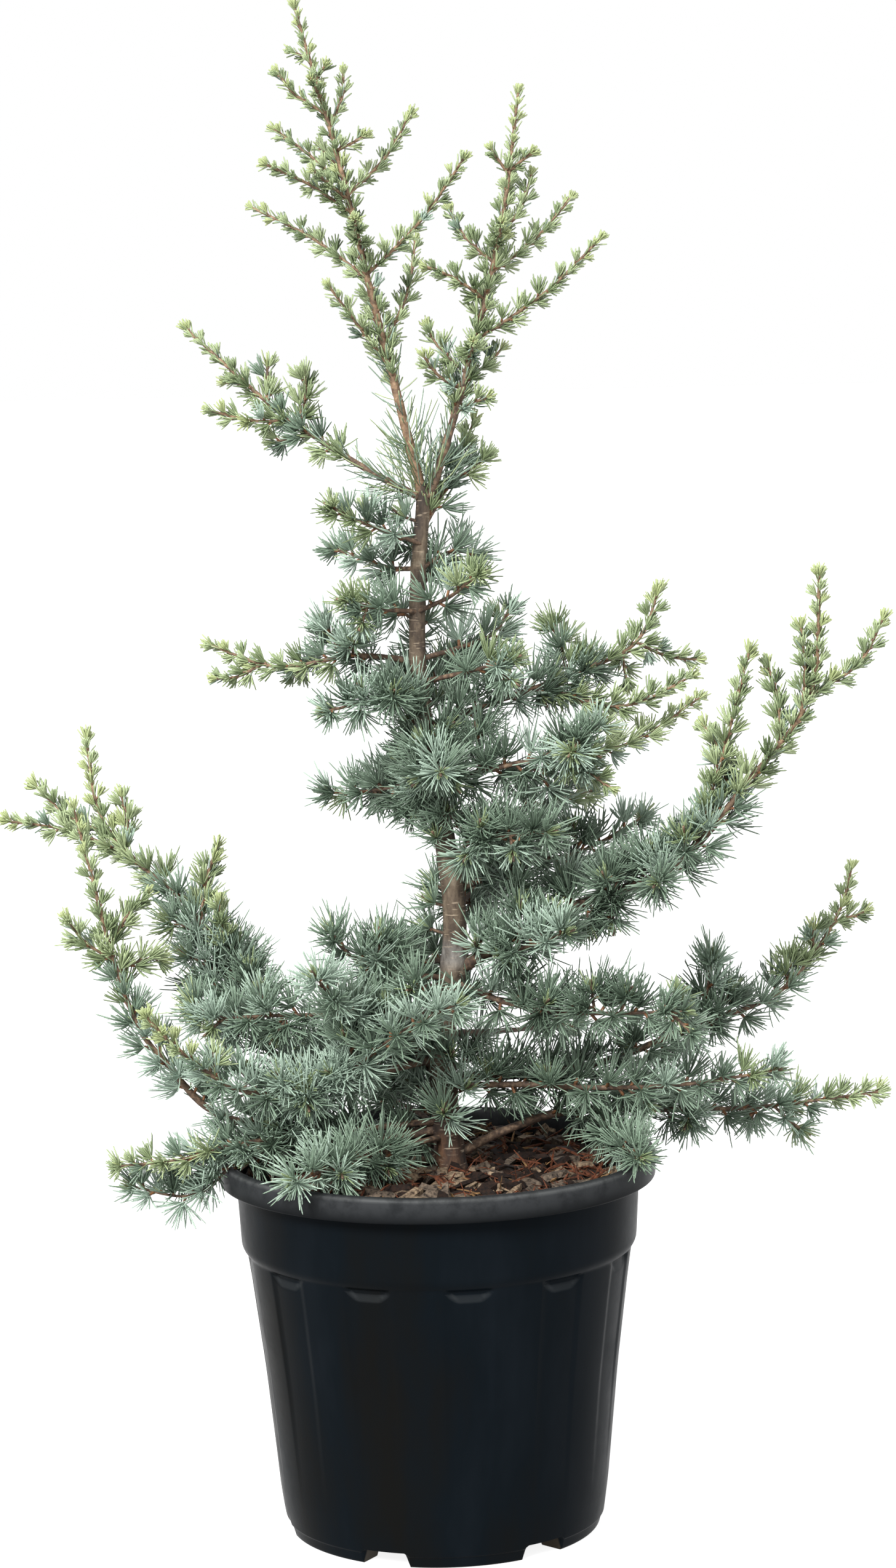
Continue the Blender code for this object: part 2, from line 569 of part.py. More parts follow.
def trunk_mesh(swell, guides):
    """The trunk from its flat cut to its fork, or the same SWELL millimetres fatter, to cut with."""
    centres = [from_front(across, height, depth) for across, height, depth, radius in TRUNK]
    radii = [row[3] + swell for row in TRUNK]
    centres[1].x = centres[0].x
    centres[1].y = centres[0].y
    if swell:
        centres[0].z -= swell
        centres[-1].z += swell
    return tube_mesh(centres, radii, TRUNK_SIDES, guides)


def limb_path(limb):
    """The limb's true path: its depth grows evenly with its length in the front view."""
    flat = [Vector((across, height)) for across, height in limb.path]
    run = [0.0]
    for a, b in zip(flat, flat[1:]):
        run.append(run[-1] + (b - a).length)
    return Path([from_front(place.x, place.y, limb.depth * reach / run[-1])
                 for place, reach in zip(flat, run)])


def limb_radius(limb, share):
    return blend(limb.radius, TWIG_TIP_RADIUS, share**0.8)


def shoot_path(path, shoot, depth):
    """A shoot's path from its limb to its tip, with a bow across the line between them."""
    start = path.at(shoot.share)
    tip = from_front(shoot.across, shoot.height, depth * shoot.share + shoot.depth)
    middle = (start + tip) / 2
    across = (tip - start).cross(Vector((0.0, 1.0, 0.0))).normalized()
    return Path([start, middle + across * shoot.bow, tip])


def fill_shoots(limb, path, draw):
    """Short side shoots round an old stem, set apart by the golden angle."""
    found = []
    stretch = path.length * (1.0 - limb.bare)
    count = int(stretch / FILL_EVERY)
    angle = draw.uniform(0.0, math.tau)
    for index in range(count):
        share = blend(limb.bare, 1.0, (index + 0.6) / (count + 0.6))
        angle += GOLDEN_ANGLE
        if blend(*limb.young, share) > FILL_OLD:
            continue
        heading = path.heading(share)
        side = heading.orthogonal().normalized()
        side.rotate(Matrix.Rotation(angle, 3, heading))
        start = path.at(share)
        outward, forward, upward = FILL_HEADING
        tip = start + (side * outward + heading * forward + UP * upward) * draw.uniform(*FILL_LENGTH)
        found.append((share, Path([start, (start + tip) / 2 - UP * FILL_SAG, tip])))
    return found


def sampled(path, start, stop):
    """Shares along a stretch of a path, about BOUGH_STEP apart."""
    count = max(2, round((stop - start) * path.length / BOUGH_STEP))
    return [start + (stop - start) * index / count for index in range(count + 1)]


def build_bough(limb, path, parts, guides, occupied, trunk_cutter):
    """The bare limb between the trunk and its mass of foliage."""
    shares = sampled(path, 0.0, limb.bare)
    shares.insert(-1, limb.bare - SQUARE_END / path.length)
    mesh = tube_mesh([path.at(share) for share in shares], [limb_radius(limb, share) for share in shares],
                     BOUGH_SIDES, guides)
    bough = add_object("bough_" + limb.name, mesh, parts, BARK)
    cut_clear(bough, trunk_cutter, guides)
    occupied.add(*swollen(bough.data, 0.0), bough.name)


def build_limbs(parts, guides, occupied, trunk_cutter):
    """Every bough and mass of foliage. All twigs come first, then the needles, from the tips inwards."""
    masses = []
    for index, limb in enumerate(LIMBS):
        draw = random.Random(SEED * 1000 + index)
        path = limb_path(limb)
        start = 0.0
        if limb.bare:
            build_bough(limb, path, parts, guides, occupied, trunk_cutter)
            start = limb.bare + CLEAR / MM / path.length
        stem = Twig(path, start, lambda share, limb=limb: limb_radius(limb, share), limb.young, guides, draw)
        occupied.add(*swollen(stem.mesh, 0.0), limb.name)
        masses.append((limb, path, start, [stem], draw))
    for limb, path, start, twigs, draw in masses:
        named = [(shoot.share, shoot_path(path, shoot, limb.depth)) for shoot in limb.shoots]
        for share, run in named + fill_shoots(limb, path, draw):
            age = blend(*limb.young, share)
            twig = Twig(run, 0.0, lambda part: blend(SHOOT_RADIUS, TWIG_TIP_RADIUS, part),
                        (age, min(1.0, age + 0.2)), guides, draw)
            points, faces = swollen(twig.mesh, 2 * CLEAR)
            if share > start and occupied.is_free(points, faces, limb.name):
                occupied.add(*swollen(twig.mesh, 0.0), limb.name)
                twigs.append(twig)
    for limb, path, start, twigs, draw in masses:
        for twig in twigs:
            twig.open_shape()
    most = max(len(twig.rings) for mass in masses for twig in mass[3])
    for order in range(most):
        for limb, path, start, twigs, draw in masses:
            for twig in twigs:
                if order < len(twig.rings):
                    twig.grow_ring(order, occupied, limb.name)
    for limb, path, start, twigs, draw in masses:
        join_mass(limb, [twig.close_shape() for twig in twigs], parts, guides, trunk_cutter)


def cut_clear(target, cutter, guides):
    """Cuts TARGET clear of a fatter copy of its neighbour."""
    holder = bpy.data.collections.new("clearance")
    guides.children.link(holder)
    add_object("cutter", cutter.copy(), holder)
    apply_boolean(target, "DIFFERENCE", holder)
    bpy.data.collections.remove(holder)
    keep_largest(target)


def join_mass(limb, pieces, parts, guides, trunk_cutter):
    """One solid from a stem, its twigs and its whorls."""
    holder = bpy.data.collections.new("mass_pieces")
    guides.children.link(holder)
    for mesh in pieces[1:]:
        add_object("piece", mesh, holder)
    mass = add_object("foliage_" + limb.name, pieces[0], parts, NEEDLES)
    apply_boolean(mass, "UNION", holder)
    bpy.data.collections.remove(holder)
    keep_largest(mass)
    if not limb.bare:
        cut_clear(mass, trunk_cutter, guides)
    mass.data.materials.clear()
    mass.data.materials.append(material(NEEDLES))


def build():
    clear_scene()
    parts = new_collection("atlas_cedar")
    guides = new_collection("guides")
    three_sided_profile(guides)
    occupied = Occupied()
    pot = build_pot(parts, guides)
    occupied.add(*swollen(pot.data, 0.0), "pot")
    mulch = build_mulch(parts)
    occupied.add(*swollen(mulch.data, 0.0), "mulch")
    trunk = add_object("trunk", trunk_mesh(0.0, guides), parts, BARK)
    occupied.add(*swollen(trunk.data, 0.0), "trunk")
    trunk_cutter = trunk_mesh(CLEAR / MM, guides)
    build_limbs(parts, guides, occupied, trunk_cutter)


build()
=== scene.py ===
"""The looks of the potted atlas cedar: bark, needles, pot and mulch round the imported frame.

The limbs are the source's table and its rule for side shoots, written again here in millimetres, and
carried on to spurs, needles and bark. -Y is the front, the side that the photograph shows.
"""
import math
import random
from bisect import bisect
from collections import namedtuple

import bpy
import numpy as np
from mathutils import Euler, Matrix, Vector, noise


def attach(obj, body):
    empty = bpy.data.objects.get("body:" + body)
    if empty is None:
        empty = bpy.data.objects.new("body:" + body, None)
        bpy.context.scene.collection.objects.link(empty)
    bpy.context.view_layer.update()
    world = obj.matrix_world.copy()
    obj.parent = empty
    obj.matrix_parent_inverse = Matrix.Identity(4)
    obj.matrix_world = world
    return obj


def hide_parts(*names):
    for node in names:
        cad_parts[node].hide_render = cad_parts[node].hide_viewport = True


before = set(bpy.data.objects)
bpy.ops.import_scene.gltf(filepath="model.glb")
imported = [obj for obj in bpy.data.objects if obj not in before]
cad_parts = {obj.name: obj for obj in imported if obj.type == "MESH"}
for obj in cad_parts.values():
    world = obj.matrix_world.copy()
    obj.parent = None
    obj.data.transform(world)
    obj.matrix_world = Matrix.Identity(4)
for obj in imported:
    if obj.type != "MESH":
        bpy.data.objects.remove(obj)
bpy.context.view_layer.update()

MM = 0.001
SEED = 7
UP = np.array((0.0, 0.0, 1.0))
GOLDEN_ANGLE = math.radians(137.5)
SHARP = math.radians(35)     # edges of the pot that turn more than this stay crisp

# Camera, fitted to the pot's ellipses and the trunk
CAMERA_PLACE = (0.0141, -3.0, 0.946)
CAMERA_PITCH = math.radians(82.82)
CAMERA_ROLL = math.radians(-1.24)
CAMERA_LENS = 92.7

# Front view: the point, in millimetres, that the limbs are read from
EYE = np.array((14.0, -3000.0, 946.0))

# Trunk: across, height, depth and radius in millimetres, from the flat cut up to the fork
TRUNK = [
    (10, 271.9, 0, 14.5), (10, 279, 0, 12.4), (9, 292, 0, 11.2), (7, 325, 1, 10.6), (5, 366, 2, 9.9),
    (9, 402, 2, 9.6), (15, 428, 0, 9.9), (17, 462, -2, 9.0), (15, 495, -3, 8.5), (7, 550, -2, 7.8),
    (-1, 600, 1, 7.1), (-6, 650, 3, 6.4), (-6, 700, 4, 6.1), (-3, 745, 3, 5.6), (0, 778, 1, 5.2),
    (0, 793, 0, 4.6),
]

# A limb, in millimetres: the points it passes in the front view, its tip's depth, its base radius, the
# share of its length that is a bare bough, how young it is at its base and tip (0 old rosettes, 1 young
# tufts), and its shoots: where each leaves the limb, its tip in the front view, and how far it turns back
# or bows. Finer twigs, which the source doesn't have, come last among the shoots.
Limb = namedtuple("Limb", "name path depth radius bare young shoots")
Shoot = namedtuple("Shoot", "share across height depth bow", defaults=(0, 0))

LIMBS = [
    ("leader_left", [(0, 784), (-14, 845), (-37, 944), (-57, 1034), (-87, 1147)], -16, 4.2, 0.22,
     (0.8, 1.0), [(0.26, -68, 943, -26), (0.31, -1, 975, 44, -6), (0.45, 38, 1034, -34, -5),
     (0.445, -124, 1000, 30, -4), (0.575, -113, 1031, -32, -3), (0.61, -1, 1067, 34, -5),
     (0.625, -106, 1057, 26, -2), (0.6, -77, 1026, -34), (0.7, -33, 1050, -12), (0.75, -51, 1098, 10, -4),
     (0.775, -102, 1099, -6, 4), (0.84, -63, 1103, -8), (0.885, -92, 1112, 8), (0.37, -38, 935, 52),
     (0.51, -46, 990, -54), (0.66, -72, 1044, 46), (0.8, -76, 1092, -34)]),
    ("leader_right", [(5, 782), (27, 850), (45, 911), (65, 997), (77, 1082)], 24, 3.8, 0.2, (0.7, 1.0),
     [(0.215, 53, 858, -16), (0.27, 1, 890, -20, 4), (0.31, 4, 912, 12, 4), (0.3, 63, 894, 18, -3),
     (0.39, 138, 973, -32, -5), (0.49, 3, 954, -26, -3), (0.555, 116, 1003, 30, -4), (0.58, 22, 997, 30, 4),
     (0.64, 86, 1022, 14, -5), (0.79, 54, 1040, -6), (0.8, 88, 1036, -10), (0.34, 40, 898, -50),
     (0.46, 50, 936, 50), (0.61, 63, 985, -44), (0.72, 72, 1022, 40)]),
    ("upper_left", [(-3, 783), (-50, 810), (-109, 852), (-175, 914)], 60, 3.0, 0.26, (0.55, 1.0),
     [(0.42, -115, 825, 10), (0.5, -160, 852, -14, 4), (0.48, -86, 881, -10, -4), (0.6, -113, 888, 8),
     (0.7, -148, 871, 8)]),
    ("fork_right", [(-2, 757), (19, 792), (33, 824), (41, 843)], 40, 1.7, 0.0, (0.5, 0.9),
     [(0.45, 54, 813, 6)]),
    ("left_1", [(-1, 748), (-32, 760), (-52, 768), (-75, 781)], -40, 2.0, 0.0, (0.3, 0.7),
     [(0.55, -45, 781, 6)]),
    ("right_1", [(-1, 731), (20, 742), (43, 739)], 60, 2.0, 0.0, (0.2, 0.5), []),
    ("left_2", [(-4, 730), (-25, 731), (-50, 740), (-72, 748)], 52, 2.0, 0.0, (0.3, 0.6), []),
    ("right_2", [(-5, 698), (19, 709), (31, 718), (48, 728)], -52, 2.0, 0.0, (0.2, 0.6), []),
    ("left_3", [(-6, 698), (-30, 700), (-47, 704), (-67, 709)], -40, 2.0, 0.0, (0.2, 0.6),
     [(0.6, -50, 684, -16)]),
    ("left_4", [(-6, 661), (-55, 666), (-112, 659), (-165, 678)], 48, 2.6, 0.22, (0.2, 0.9),
     [(0.36, -82, 695, 10, -4), (0.72, -162, 651, -8, 4), (0.3, -53, 679, -30)]),
    ("right_3", [(-6, 662), (30, 672), (52, 682), (66, 705)], 56, 2.2, 0.0, (0.1, 0.7), []),
    ("right_4", [(-6, 645), (25, 651), (50, 657), (72, 664)], -56, 2.2, 0.0, (0.1, 0.6),
     [(0.7, 70, 640, -14)]),
    ("left_5", [(-6, 634), (-43, 631), (-65, 627), (-84, 623)], -44, 2.2, 0.0, (0.1, 0.6),
     [(0.28, -24, 640, -34), (0.5, -52, 646, -14), (0.25, -27, 628, -30)]),
    ("right_5", [(-3, 611), (47, 628), (115, 651), (157, 672), (176, 715)], 70, 3.2, 0.25, (0.05, 0.9),
     [(0.42, 202, 647, -26, -20), (0.52, 94, 696, 14), (0.78, 207, 657, 10, -4), (0.3, 60, 650, -20),
     (0.72, 150, 634, 10), (0.4, 90, 624, -12), (0.45, 114, 626, 8)]),
    ("front_1", [(0, 594), (6, 586), (9, 574)], -78, 2.4, 0.0, (0.0, 0.3), [(0.5, -14, 566, -16),
     (0.4, 24, 560, -14), (0.3, -11, 606, -10)]),
    ("left_6", [(4, 571), (-30, 566), (-60, 563), (-85, 565)], 44, 2.2, 0.0, (0.1, 0.5),
     [(0.2, -10, 540, -20), (0.5, -36, 548, 10)]),
    ("right_6", [(6, 562), (32, 575), (85, 587), (118, 602), (136, 618)], -40, 3.0, 0.3, (0.0, 0.5),
     [(0.55, 207, 631, 76, -14), (0.7, 116, 566, 14), (0.8, 104, 586, -30), (0.75, 130, 585, -10),
     (0.5, 100, 552, 8), (0.65, 140, 560, -20), (0.25, 35, 617, 8)]),
    ("right_7", [(15, 507), (30, 524), (60, 528), (97, 531)], -76, 2.2, 0.0, (0.0, 0.2),
     [(0.3, 24, 508, -26), (0.6, 62, 508, -22), (0.5, 48, 548, 16)]),
    ("right_8", [(16, 487), (70, 506), (113, 515), (168, 544)], 72, 2.8, 0.3, (0.0, 0.5),
     [(0.25, 68, 480, -44), (0.5, 96, 486, -18), (0.35, 52, 528, 12), (0.6, 106, 541, -8)]),
    ("right_9", [(17, 427), (104, 472), (180, 501), (238, 564), (286, 630), (294, 725)], -96, 5.4, 0.27,
     (0.0, 1.0), [(0.46, 242, 668, -24, -2), (0.52, 204, 613, 16, -12), (0.69, 253, 658, 12, -3),
     (0.75, 279, 686, -14, -3), (0.785, 343, 690, 8, -11), (0.3, 128, 500, -22), (0.4, 166, 486, -40),
     (0.22, 96, 500, 18), (0.3, 150, 512, 12), (0.35, 168, 524, -10), (0.25, 121, 447, -16),
     (0.3, 136, 449, -10)]),
    ("front_2", [(16, 446), (50, 440), (80, 446), (108, 456)], -88, 2.6, 0.0, (0.0, 0.3),
     [(0.5, 68, 481, -8), (0.4, 62, 426, -8), (0.7, 94, 478, 10), (0.2, 31, 448, -20)]),
    ("low_right_1", [(13, 419), (55, 401), (106, 392), (197, 391)], -92, 2.8, 0.0, (0.0, 0.6),
     [(0.3, 64, 430, 10), (0.6, 118, 418, -14), (0.85, 190, 410, 8), (0.7, 150, 412, -12),
     (0.9, 200, 368, -6)]),
    ("left_7", [(14, 421), (-26, 425), (-62, 440), (-81, 466)], -52, 2.4, 0.0, (0.0, 0.3),
     [(0.5, -40, 462, -10)]),
    ("front_3", [(11, 412), (0, 415), (-21, 412)], -88, 2.4, 0.0, (0.0, 0.2), []),
    ("left_8", [(9, 399), (-35, 389), (-68, 399), (-93, 430)], -104, 2.4, 0.0, (0.0, 0.3), []),
    ("left_9", [(6, 388), (-60, 393), (-117, 395), (-188, 392)], -34, 2.6, 0.0, (0.0, 0.3),
     [(0.4, -66, 418, 14), (0.7, -132, 424, 8), (0.6, -125, 372, -10), (0.72, -160, 370, 8),
     (0.85, -175, 380, -14), (0.85, -192, 408, 6)]),
    ("left_outer_1", [(5, 372), (-60, 361), (-121, 364), (-157, 439), (-188, 485), (-223, 517), (-248, 554),
     (-256, 614)], 110, 4.4, 0.3, (0.0, 1.0), [(0.58, -158, 530, 10, 3), (0.755, -322, 548, -24, -6),
     (0.765, -232, 570, 14, -3), (0.8, -298, 578, 12, 7), (0.38, -137, 440, -12), (0.44, -147, 462, 10),
     (0.5, -160, 487, -14), (0.46, -194, 448, -10), (0.54, -206, 476, -8), (0.42, -188, 426, -6)]),
    ("left_low_1", [(6, 361), (-33, 352), (-108, 336), (-150, 339), (-186, 364), (-221, 399)], -112, 3.4,
     0.18, (0.0, 0.9), [(0.32, 26, 405, -78, 6), (0.35, -108, 338, -34), (0.25, -70, 384, -40),
     (0.3, -84, 352, -30), (0.42, -96, 320, -26), (0.46, -122, 352, -20), (0.6, -142, 362, 10),
     (0.72, -166, 374, 12)]),
    ("low_right_2", [(7, 345), (70, 346), (130, 355), (197, 381), (259, 404), (302, 457), (317, 502)], 120,
     4.0, 0.42, (0.0, 1.0), [(0.53, 212, 440, -12), (0.875, 330, 466, 6), (0.3, 92, 340, 10),
     (0.4, 138, 366, -12), (0.5, 176, 360, 8), (0.55, 214, 372, 6), (0.72, 268, 440, 8),
     (0.8, 286, 458, -8)]),
    ("low_right_3", [(8, 338), (63, 338), (129, 334), (195, 336), (266, 346)], -50, 3.0, 0.25, (0.0, 0.4),
     [(0.12, 38, 356, -10), (0.2, 62, 322, 8), (0.3, 84, 352, -8)]),
    ("left_outer_2", [(8, 306), (-60, 298), (-122, 308), (-170, 323), (-202, 359), (-224, 390), (-242, 447),
     (-254, 501), (-268, 561)], -30, 4.2, 0.42, (0.2, 1.0), [(0.7, -199, 440, 12, 4),
     (0.72, -277, 477, -14, 5), (0.745, -211, 492, 10, 3)]),
    ("left_low_2", [(8, 312), (-80, 304), (-150, 297), (-193, 286), (-250, 281)], -78, 3.0, 0.3, (0.0, 0.7),
     [(0.58, -241, 268, -16, 25), (0.3, -92, 288, -20), (0.45, -128, 314, -16), (0.5, -150, 276, -14),
     (0.6, -205, 262, 6)]),
    ("left_low_3", [(9, 300), (-40, 289), (-85, 275), (-118, 265)], -150, 2.6, 0.0, (0.0, 0.2),
     [(0.66, -72, 268, -30)]),
    ("low_right_4", [(11, 284), (60, 306), (110, 317), (230, 316), (341, 327)], 56, 3.8, 0.32, (0.0, 0.8),
     [(0.34, 158, 277, -118, -6), (0.55, 187, 300, -24), (0.7, 235, 300, 20)]),
    ("back_1", [(-5, 640), (12, 650), (27, 662)], 118, 2.4, 0.0, (0.1, 0.6), []),
    ("back_2", [(2, 584), (-22, 573), (-42, 571)], 140, 2.6, 0.0, (0.0, 0.5), []),
    ("back_3", [(8, 543), (60, 547), (128, 562)], 156, 2.8, 0.0, (0.0, 0.5), []),
    ("back_4", [(17, 474), (34, 488), (52, 500)], 196, 3.0, 0.0, (0.0, 0.6), []),
    ("back_5", [(14, 436), (-22, 431), (-52, 428)], 196, 3.0, 0.0, (0.0, 0.6), []),
    ("back_6", [(6, 378), (60, 380), (112, 384)], 210, 3.2, 0.0, (0.0, 0.6), []),
    ("back_7", [(7, 350), (-50, 362), (-102, 368)], 214, 3.2, 0.0, (0.0, 0.6), []),
    ("back_8", [(9, 300), (-20, 322), (-50, 332)], 190, 3.0, 0.0, (0.0, 0.4), []),
]
LIMBS = [Limb(*limb, [Shoot(*shoot) for shoot in shoots]) for *limb, shoots in LIMBS]

# Twigs, in millimetres
TWIG_TIP_RADIUS = 0.9
SHOOT_RADIUS = 1.3
FILL_EVERY = 110.0
FILL_LENGTH = (24.0, 42.0)
FILL_OLD = 0.6
FILL_HEADING = (0.8, 0.6, 0.15)
FILL_SAG = 1.5
TRUNK_SHOOT_RISE = 3.0
BARE_LENGTH = 12.0           # every limb is bare this far from the trunk's middle
LONG_SHOOT = 52.0            # side shoots end young if they are longer than this
YOUNG_ABOVE = 480.0          # and their tips are higher than this
YOUNG_LIMB = 0.45            # and their limb ends younger than this

# Bark of limbs and shoots: the share of its length where it stops, its sides, and how far apart its rings
# are in millimetres
LIMB_BARK = (0.985, 12, 2.6)
SHOOT_BARK = (0.97, 8, 3.0)
TRUNK_SHOOT_BARK = (0.96, 8, 3.0)
TRUNK_BARK_RINGS = 330
TRUNK_BARK_SIDES = 56
TRUNK_CLEARANCE = 0.5        # needles whose tips come nearer to the trunk's bark than this are left out
COLLARS_BELOW = 780.0        # limbs that leave the trunk lower than this have a collar
COLLAR_REACH = 14.0

# Short shoots on the trunk itself: height, turn seen from above in degrees, and reach in millimetres
TRUNK_SHOOTS = [
    (312, -95, 28), (326, 150, 26), (330, -50, 24), (345, 40, 26), (352, 100, 26),
    (356, -75, 24), (368, 200, 26), (374, -110, 24), (390, 90, 26), (398, 30, 22),
    (452, 165, 20), (474, 190, 16), (486, 150, 16),
    (524, -110, 20), (530, 60, 24), (536, 160, 22), (542, -75, 24),
    (552, 120, 24), (560, 230, 24), (566, -50, 24), (578, 175, 24), (592, 140, 22), (596, -80, 22),
    (604, -40, 22), (612, -130, 22), (622, 60, 24), (628, -110, 22), (640, 160, 24), (646, 110, 20),
    (668, 90, 22), (684, 60, 18), (690, 130, 22), (716, 60, 20), (742, 100, 20), (764, 200, 18),
]

# Boughs that carry rosettes: where these start and how far apart they stand, in millimetres. The others
# only have long single needles.
CLOTHED = {
    "right_5": (16.0, 8.0), "right_6": (16.0, 8.0), "right_8": (16.0, 8.5), "right_9": (40.0, 11.0),
    "left_4": (30.0, 13.0), "left_outer_1": (16.0, 11.0), "left_outer_2": (16.0, 11.0),
    "left_low_1": (58.0, 10.0), "left_low_2": (60.0, 9.0), "low_right_2": (40.0, 9.0),
    "low_right_3": (24.0, 10.0), "low_right_4": (60.0, 16.0),
}

# Share of its length where the foliage of a limb starts, for limbs that leave the trunk's bark in view
BARE_FOOT = {
    "front_2": 0.34, "right_7": 0.25, "left_7": 0.25, "left_low_3": 0.34, "front_3": 0.6, "left_8": 0.3,
    "left_3": 0.2, "left_5": 0.32, "right_3": 0.25, "right_4": 0.36, "back_3": 0.5, "back_6": 0.75,
    "back_8": 0.55,
}

# How young a stem is at its base and tip, how much later than most it turns young, how much paler its
# sprays are painted than most, a painted light on the left limbs and a painted shade on the right ones,
# and how full its young sprays are
Ages = namedtuple("Ages", "base tip late pale full", defaults=(0.0, 0.0, 1.0))
TRUNK_SHOOT_AGES = Ages(0.0, 0.3)
LATE = {
    "low_right_1": 0.15, "low_right_2": 0.09, "low_right_4": 0.12, "left_4": -0.2, "left_1": -0.2,
    "left_2": -0.2, "left_3": -0.2, "right_2": -0.15, "right_5": -0.1, "right_9": -0.08,
}
# Painted light and shade: limbs at the left get paler sprays as painted light, limbs at the right darker
# sprays as painted shade
PAINTED_LIGHT_BY_LIMB = {
    "left_low_1": 0.45, "left_8": 0.2, "left_9": 0.25, "left_outer_1": 0.15, "left_low_2": 0.2,
    "low_right_1": -0.12, "low_right_2": -0.15, "low_right_3": -0.15, "low_right_4": -0.1,
}
FULL = {
    "leader_left": 0.85, "leader_right": 0.85, "left_outer_1": 1.22, "left_outer_2": 1.22, "right_5": 1.12,
    "right_9": 1.18, "low_right_2": 1.1,
}

# Shares of its length between which a stem turns young, and how far it has turned at its base, at these
# two and at its tip
TURN_MARKS = (0.5, 0.78)
TURN_STATES = (0.0, 0.15, 0.85, 1.0)

# How sprays of needles change from old wood, through middling, to young: sizes in millimetres
AGE_MARKS = (0.0, 0.5, 1.0)
SPUR_EVERY = (9.0, 7.3, 5.5)
SPUR_LENGTH = (5.5, 3.4, 1.0)
SPUR_LEAN = (22.0, 38.0, 54.0)      # degrees that a spur leans towards the twig's tip
SPUR_RADIUS = (1.35, 0.7)           # on old wood and on young
SPUR_END = 1.2                      # how far it goes into the bark, and its bud out of the needles' roots
SPRAY_COUNT = (44, 30, 11)
SPRAY_SPREAD = (90.0, 64.0, 29.0)   # degrees between a spray's axis and its outermost needles
NEEDLE_LENGTH = (19.6, 14.8, 8.2)
NEEDLE_RADIUS = (0.62, 0.65, 0.72)
NEEDLE_SAG = (0.52, 0.43, 0.18)     # how far a needle's tip bends, as a share of its length
SINGLE_EVERY = 1.8                  # between needles that stand alone on young wood
SINGLE_LENGTH = 8.5
SINGLE_RADIUS = 0.66
LONG_RADIUS = 0.58                  # of the long needles on bare boughs
LONG_DENSE = (0.65, (20.0, 34.0))   # how far apart these are and how long, near the trunk
LONG_SPARSE = (1.6, (10.0, 20.0))   # and further out
PIECE_NEEDLES = 13000               # most needles in one mesh, which keeps it under 200,000 triangles

# How young wood may be to show buds, when a shoot ends in a tuft and not in a rosette, when that tuft is
# fresh, and when bark turns from old to middling and to young
BUDDED_BELOW = 0.8
TUFTED_ABOVE = 0.75
FRESH_ABOVE = 0.85
TWIG_AGES = (0.35, 0.75)

# Paints of the needles, as the eye sees them
NEEDLE_PAINTS = {
    "needle_blue_deep": (0.28, 0.34, 0.28),
    "needle_blue": (0.405, 0.475, 0.405),
    "needle_blue_pale": (0.54, 0.61, 0.55),
    "needle_green_deep": (0.33, 0.385, 0.26),
    "needle_green": (0.435, 0.49, 0.35),
    "needle_green_pale": (0.53, 0.58, 0.43),
    "needle_fresh": (0.55, 0.59, 0.41),
}
PAINT_NAMES = list(NEEDLE_PAINTS)

# A spray takes one of three paints in a row, by how light it is; how green it is says where these start
PAINT_STARTS = (0, 3, 4)
GREEN_MARKS = (0.42, 0.92)
LIGHT_MARKS = (0.32, 0.85)

# Bark of limbs and twigs from old to young, and of buds: dark, middling and light colours, and roughness
LIMB_BARKS = (
    ("limb_bark_old", (0.13, 0.09, 0.06), (0.28, 0.21, 0.155), (0.44, 0.36, 0.28), 0.8),
    ("limb_bark_middle", (0.18, 0.13, 0.09), (0.33, 0.255, 0.19), (0.47, 0.385, 0.30), 0.75),
    ("limb_bark_young", (0.26, 0.19, 0.135), (0.41, 0.32, 0.235), (0.54, 0.445, 0.345), 0.7),
    ("bud_brown", (0.20, 0.12, 0.065), (0.37, 0.235, 0.13), (0.52, 0.36, 0.21), 0.7),
)
BARK_YOUNG, BUD = 2, 3

# Mulch: dark and light colours of its kinds, and how chips and shreds are dealt out among them
MULCH_LOOKS = (
    ("chip_tan", (0.15, 0.11, 0.08), (0.46, 0.395, 0.32)),
    ("chip_grey", (0.08, 0.06, 0.05), (0.34, 0.295, 0.25)),
    ("chip_brown", (0.02, 0.011, 0.007), (0.12, 0.07, 0.042)),
    ("shred_red", (0.15, 0.078, 0.048), (0.355, 0.20, 0.125)),
    ("shred_straw", (0.26, 0.18, 0.11), (0.48, 0.37, 0.24)),
)
CHIP_SHARES = (0.28, 0.24, 0.48)
RED_SHARE = 0.85
SHRED_RED, SHRED_STRAW = 3, 4


def linear(colour):
    """A colour as the eye sees it, turned into the light that a shader works in."""
    return tuple(c / 12.92 if c <= 0.04045 else ((c + 0.055) / 1.055) ** 2.4 for c in colour)


def blend(start, end, share):
    return start + (end - start) * share


def by_age(values, age):
    return float(np.interp(age, AGE_MARKS, values))


def ripened(ages, share):
    """How young a stem is at SHARE of its length: old for half of it, then quickly younger."""
    marks = (0.0, *(mark + ages.late for mark in TURN_MARKS), 1.0)
    return blend(ages.base, ages.tip, np.interp(share, marks, TURN_STATES))


def unit(vectors):
    return vectors / np.linalg.norm(vectors, axis=-1, keepdims=True)


# Materials: their lengths are in metres, as shaders read them

def new_material(name, colour, roughness, specular=0.5):
    made = bpy.data.materials.new(name)
    made.use_nodes = True
    shader = made.node_tree.nodes["Principled BSDF"]
    shader.inputs["Base Color"].default_value = (*linear(colour), 1.0)
    shader.inputs["Roughness"].default_value = roughness
    shader.inputs["Specular IOR Level"].default_value = specular
    return made, shader


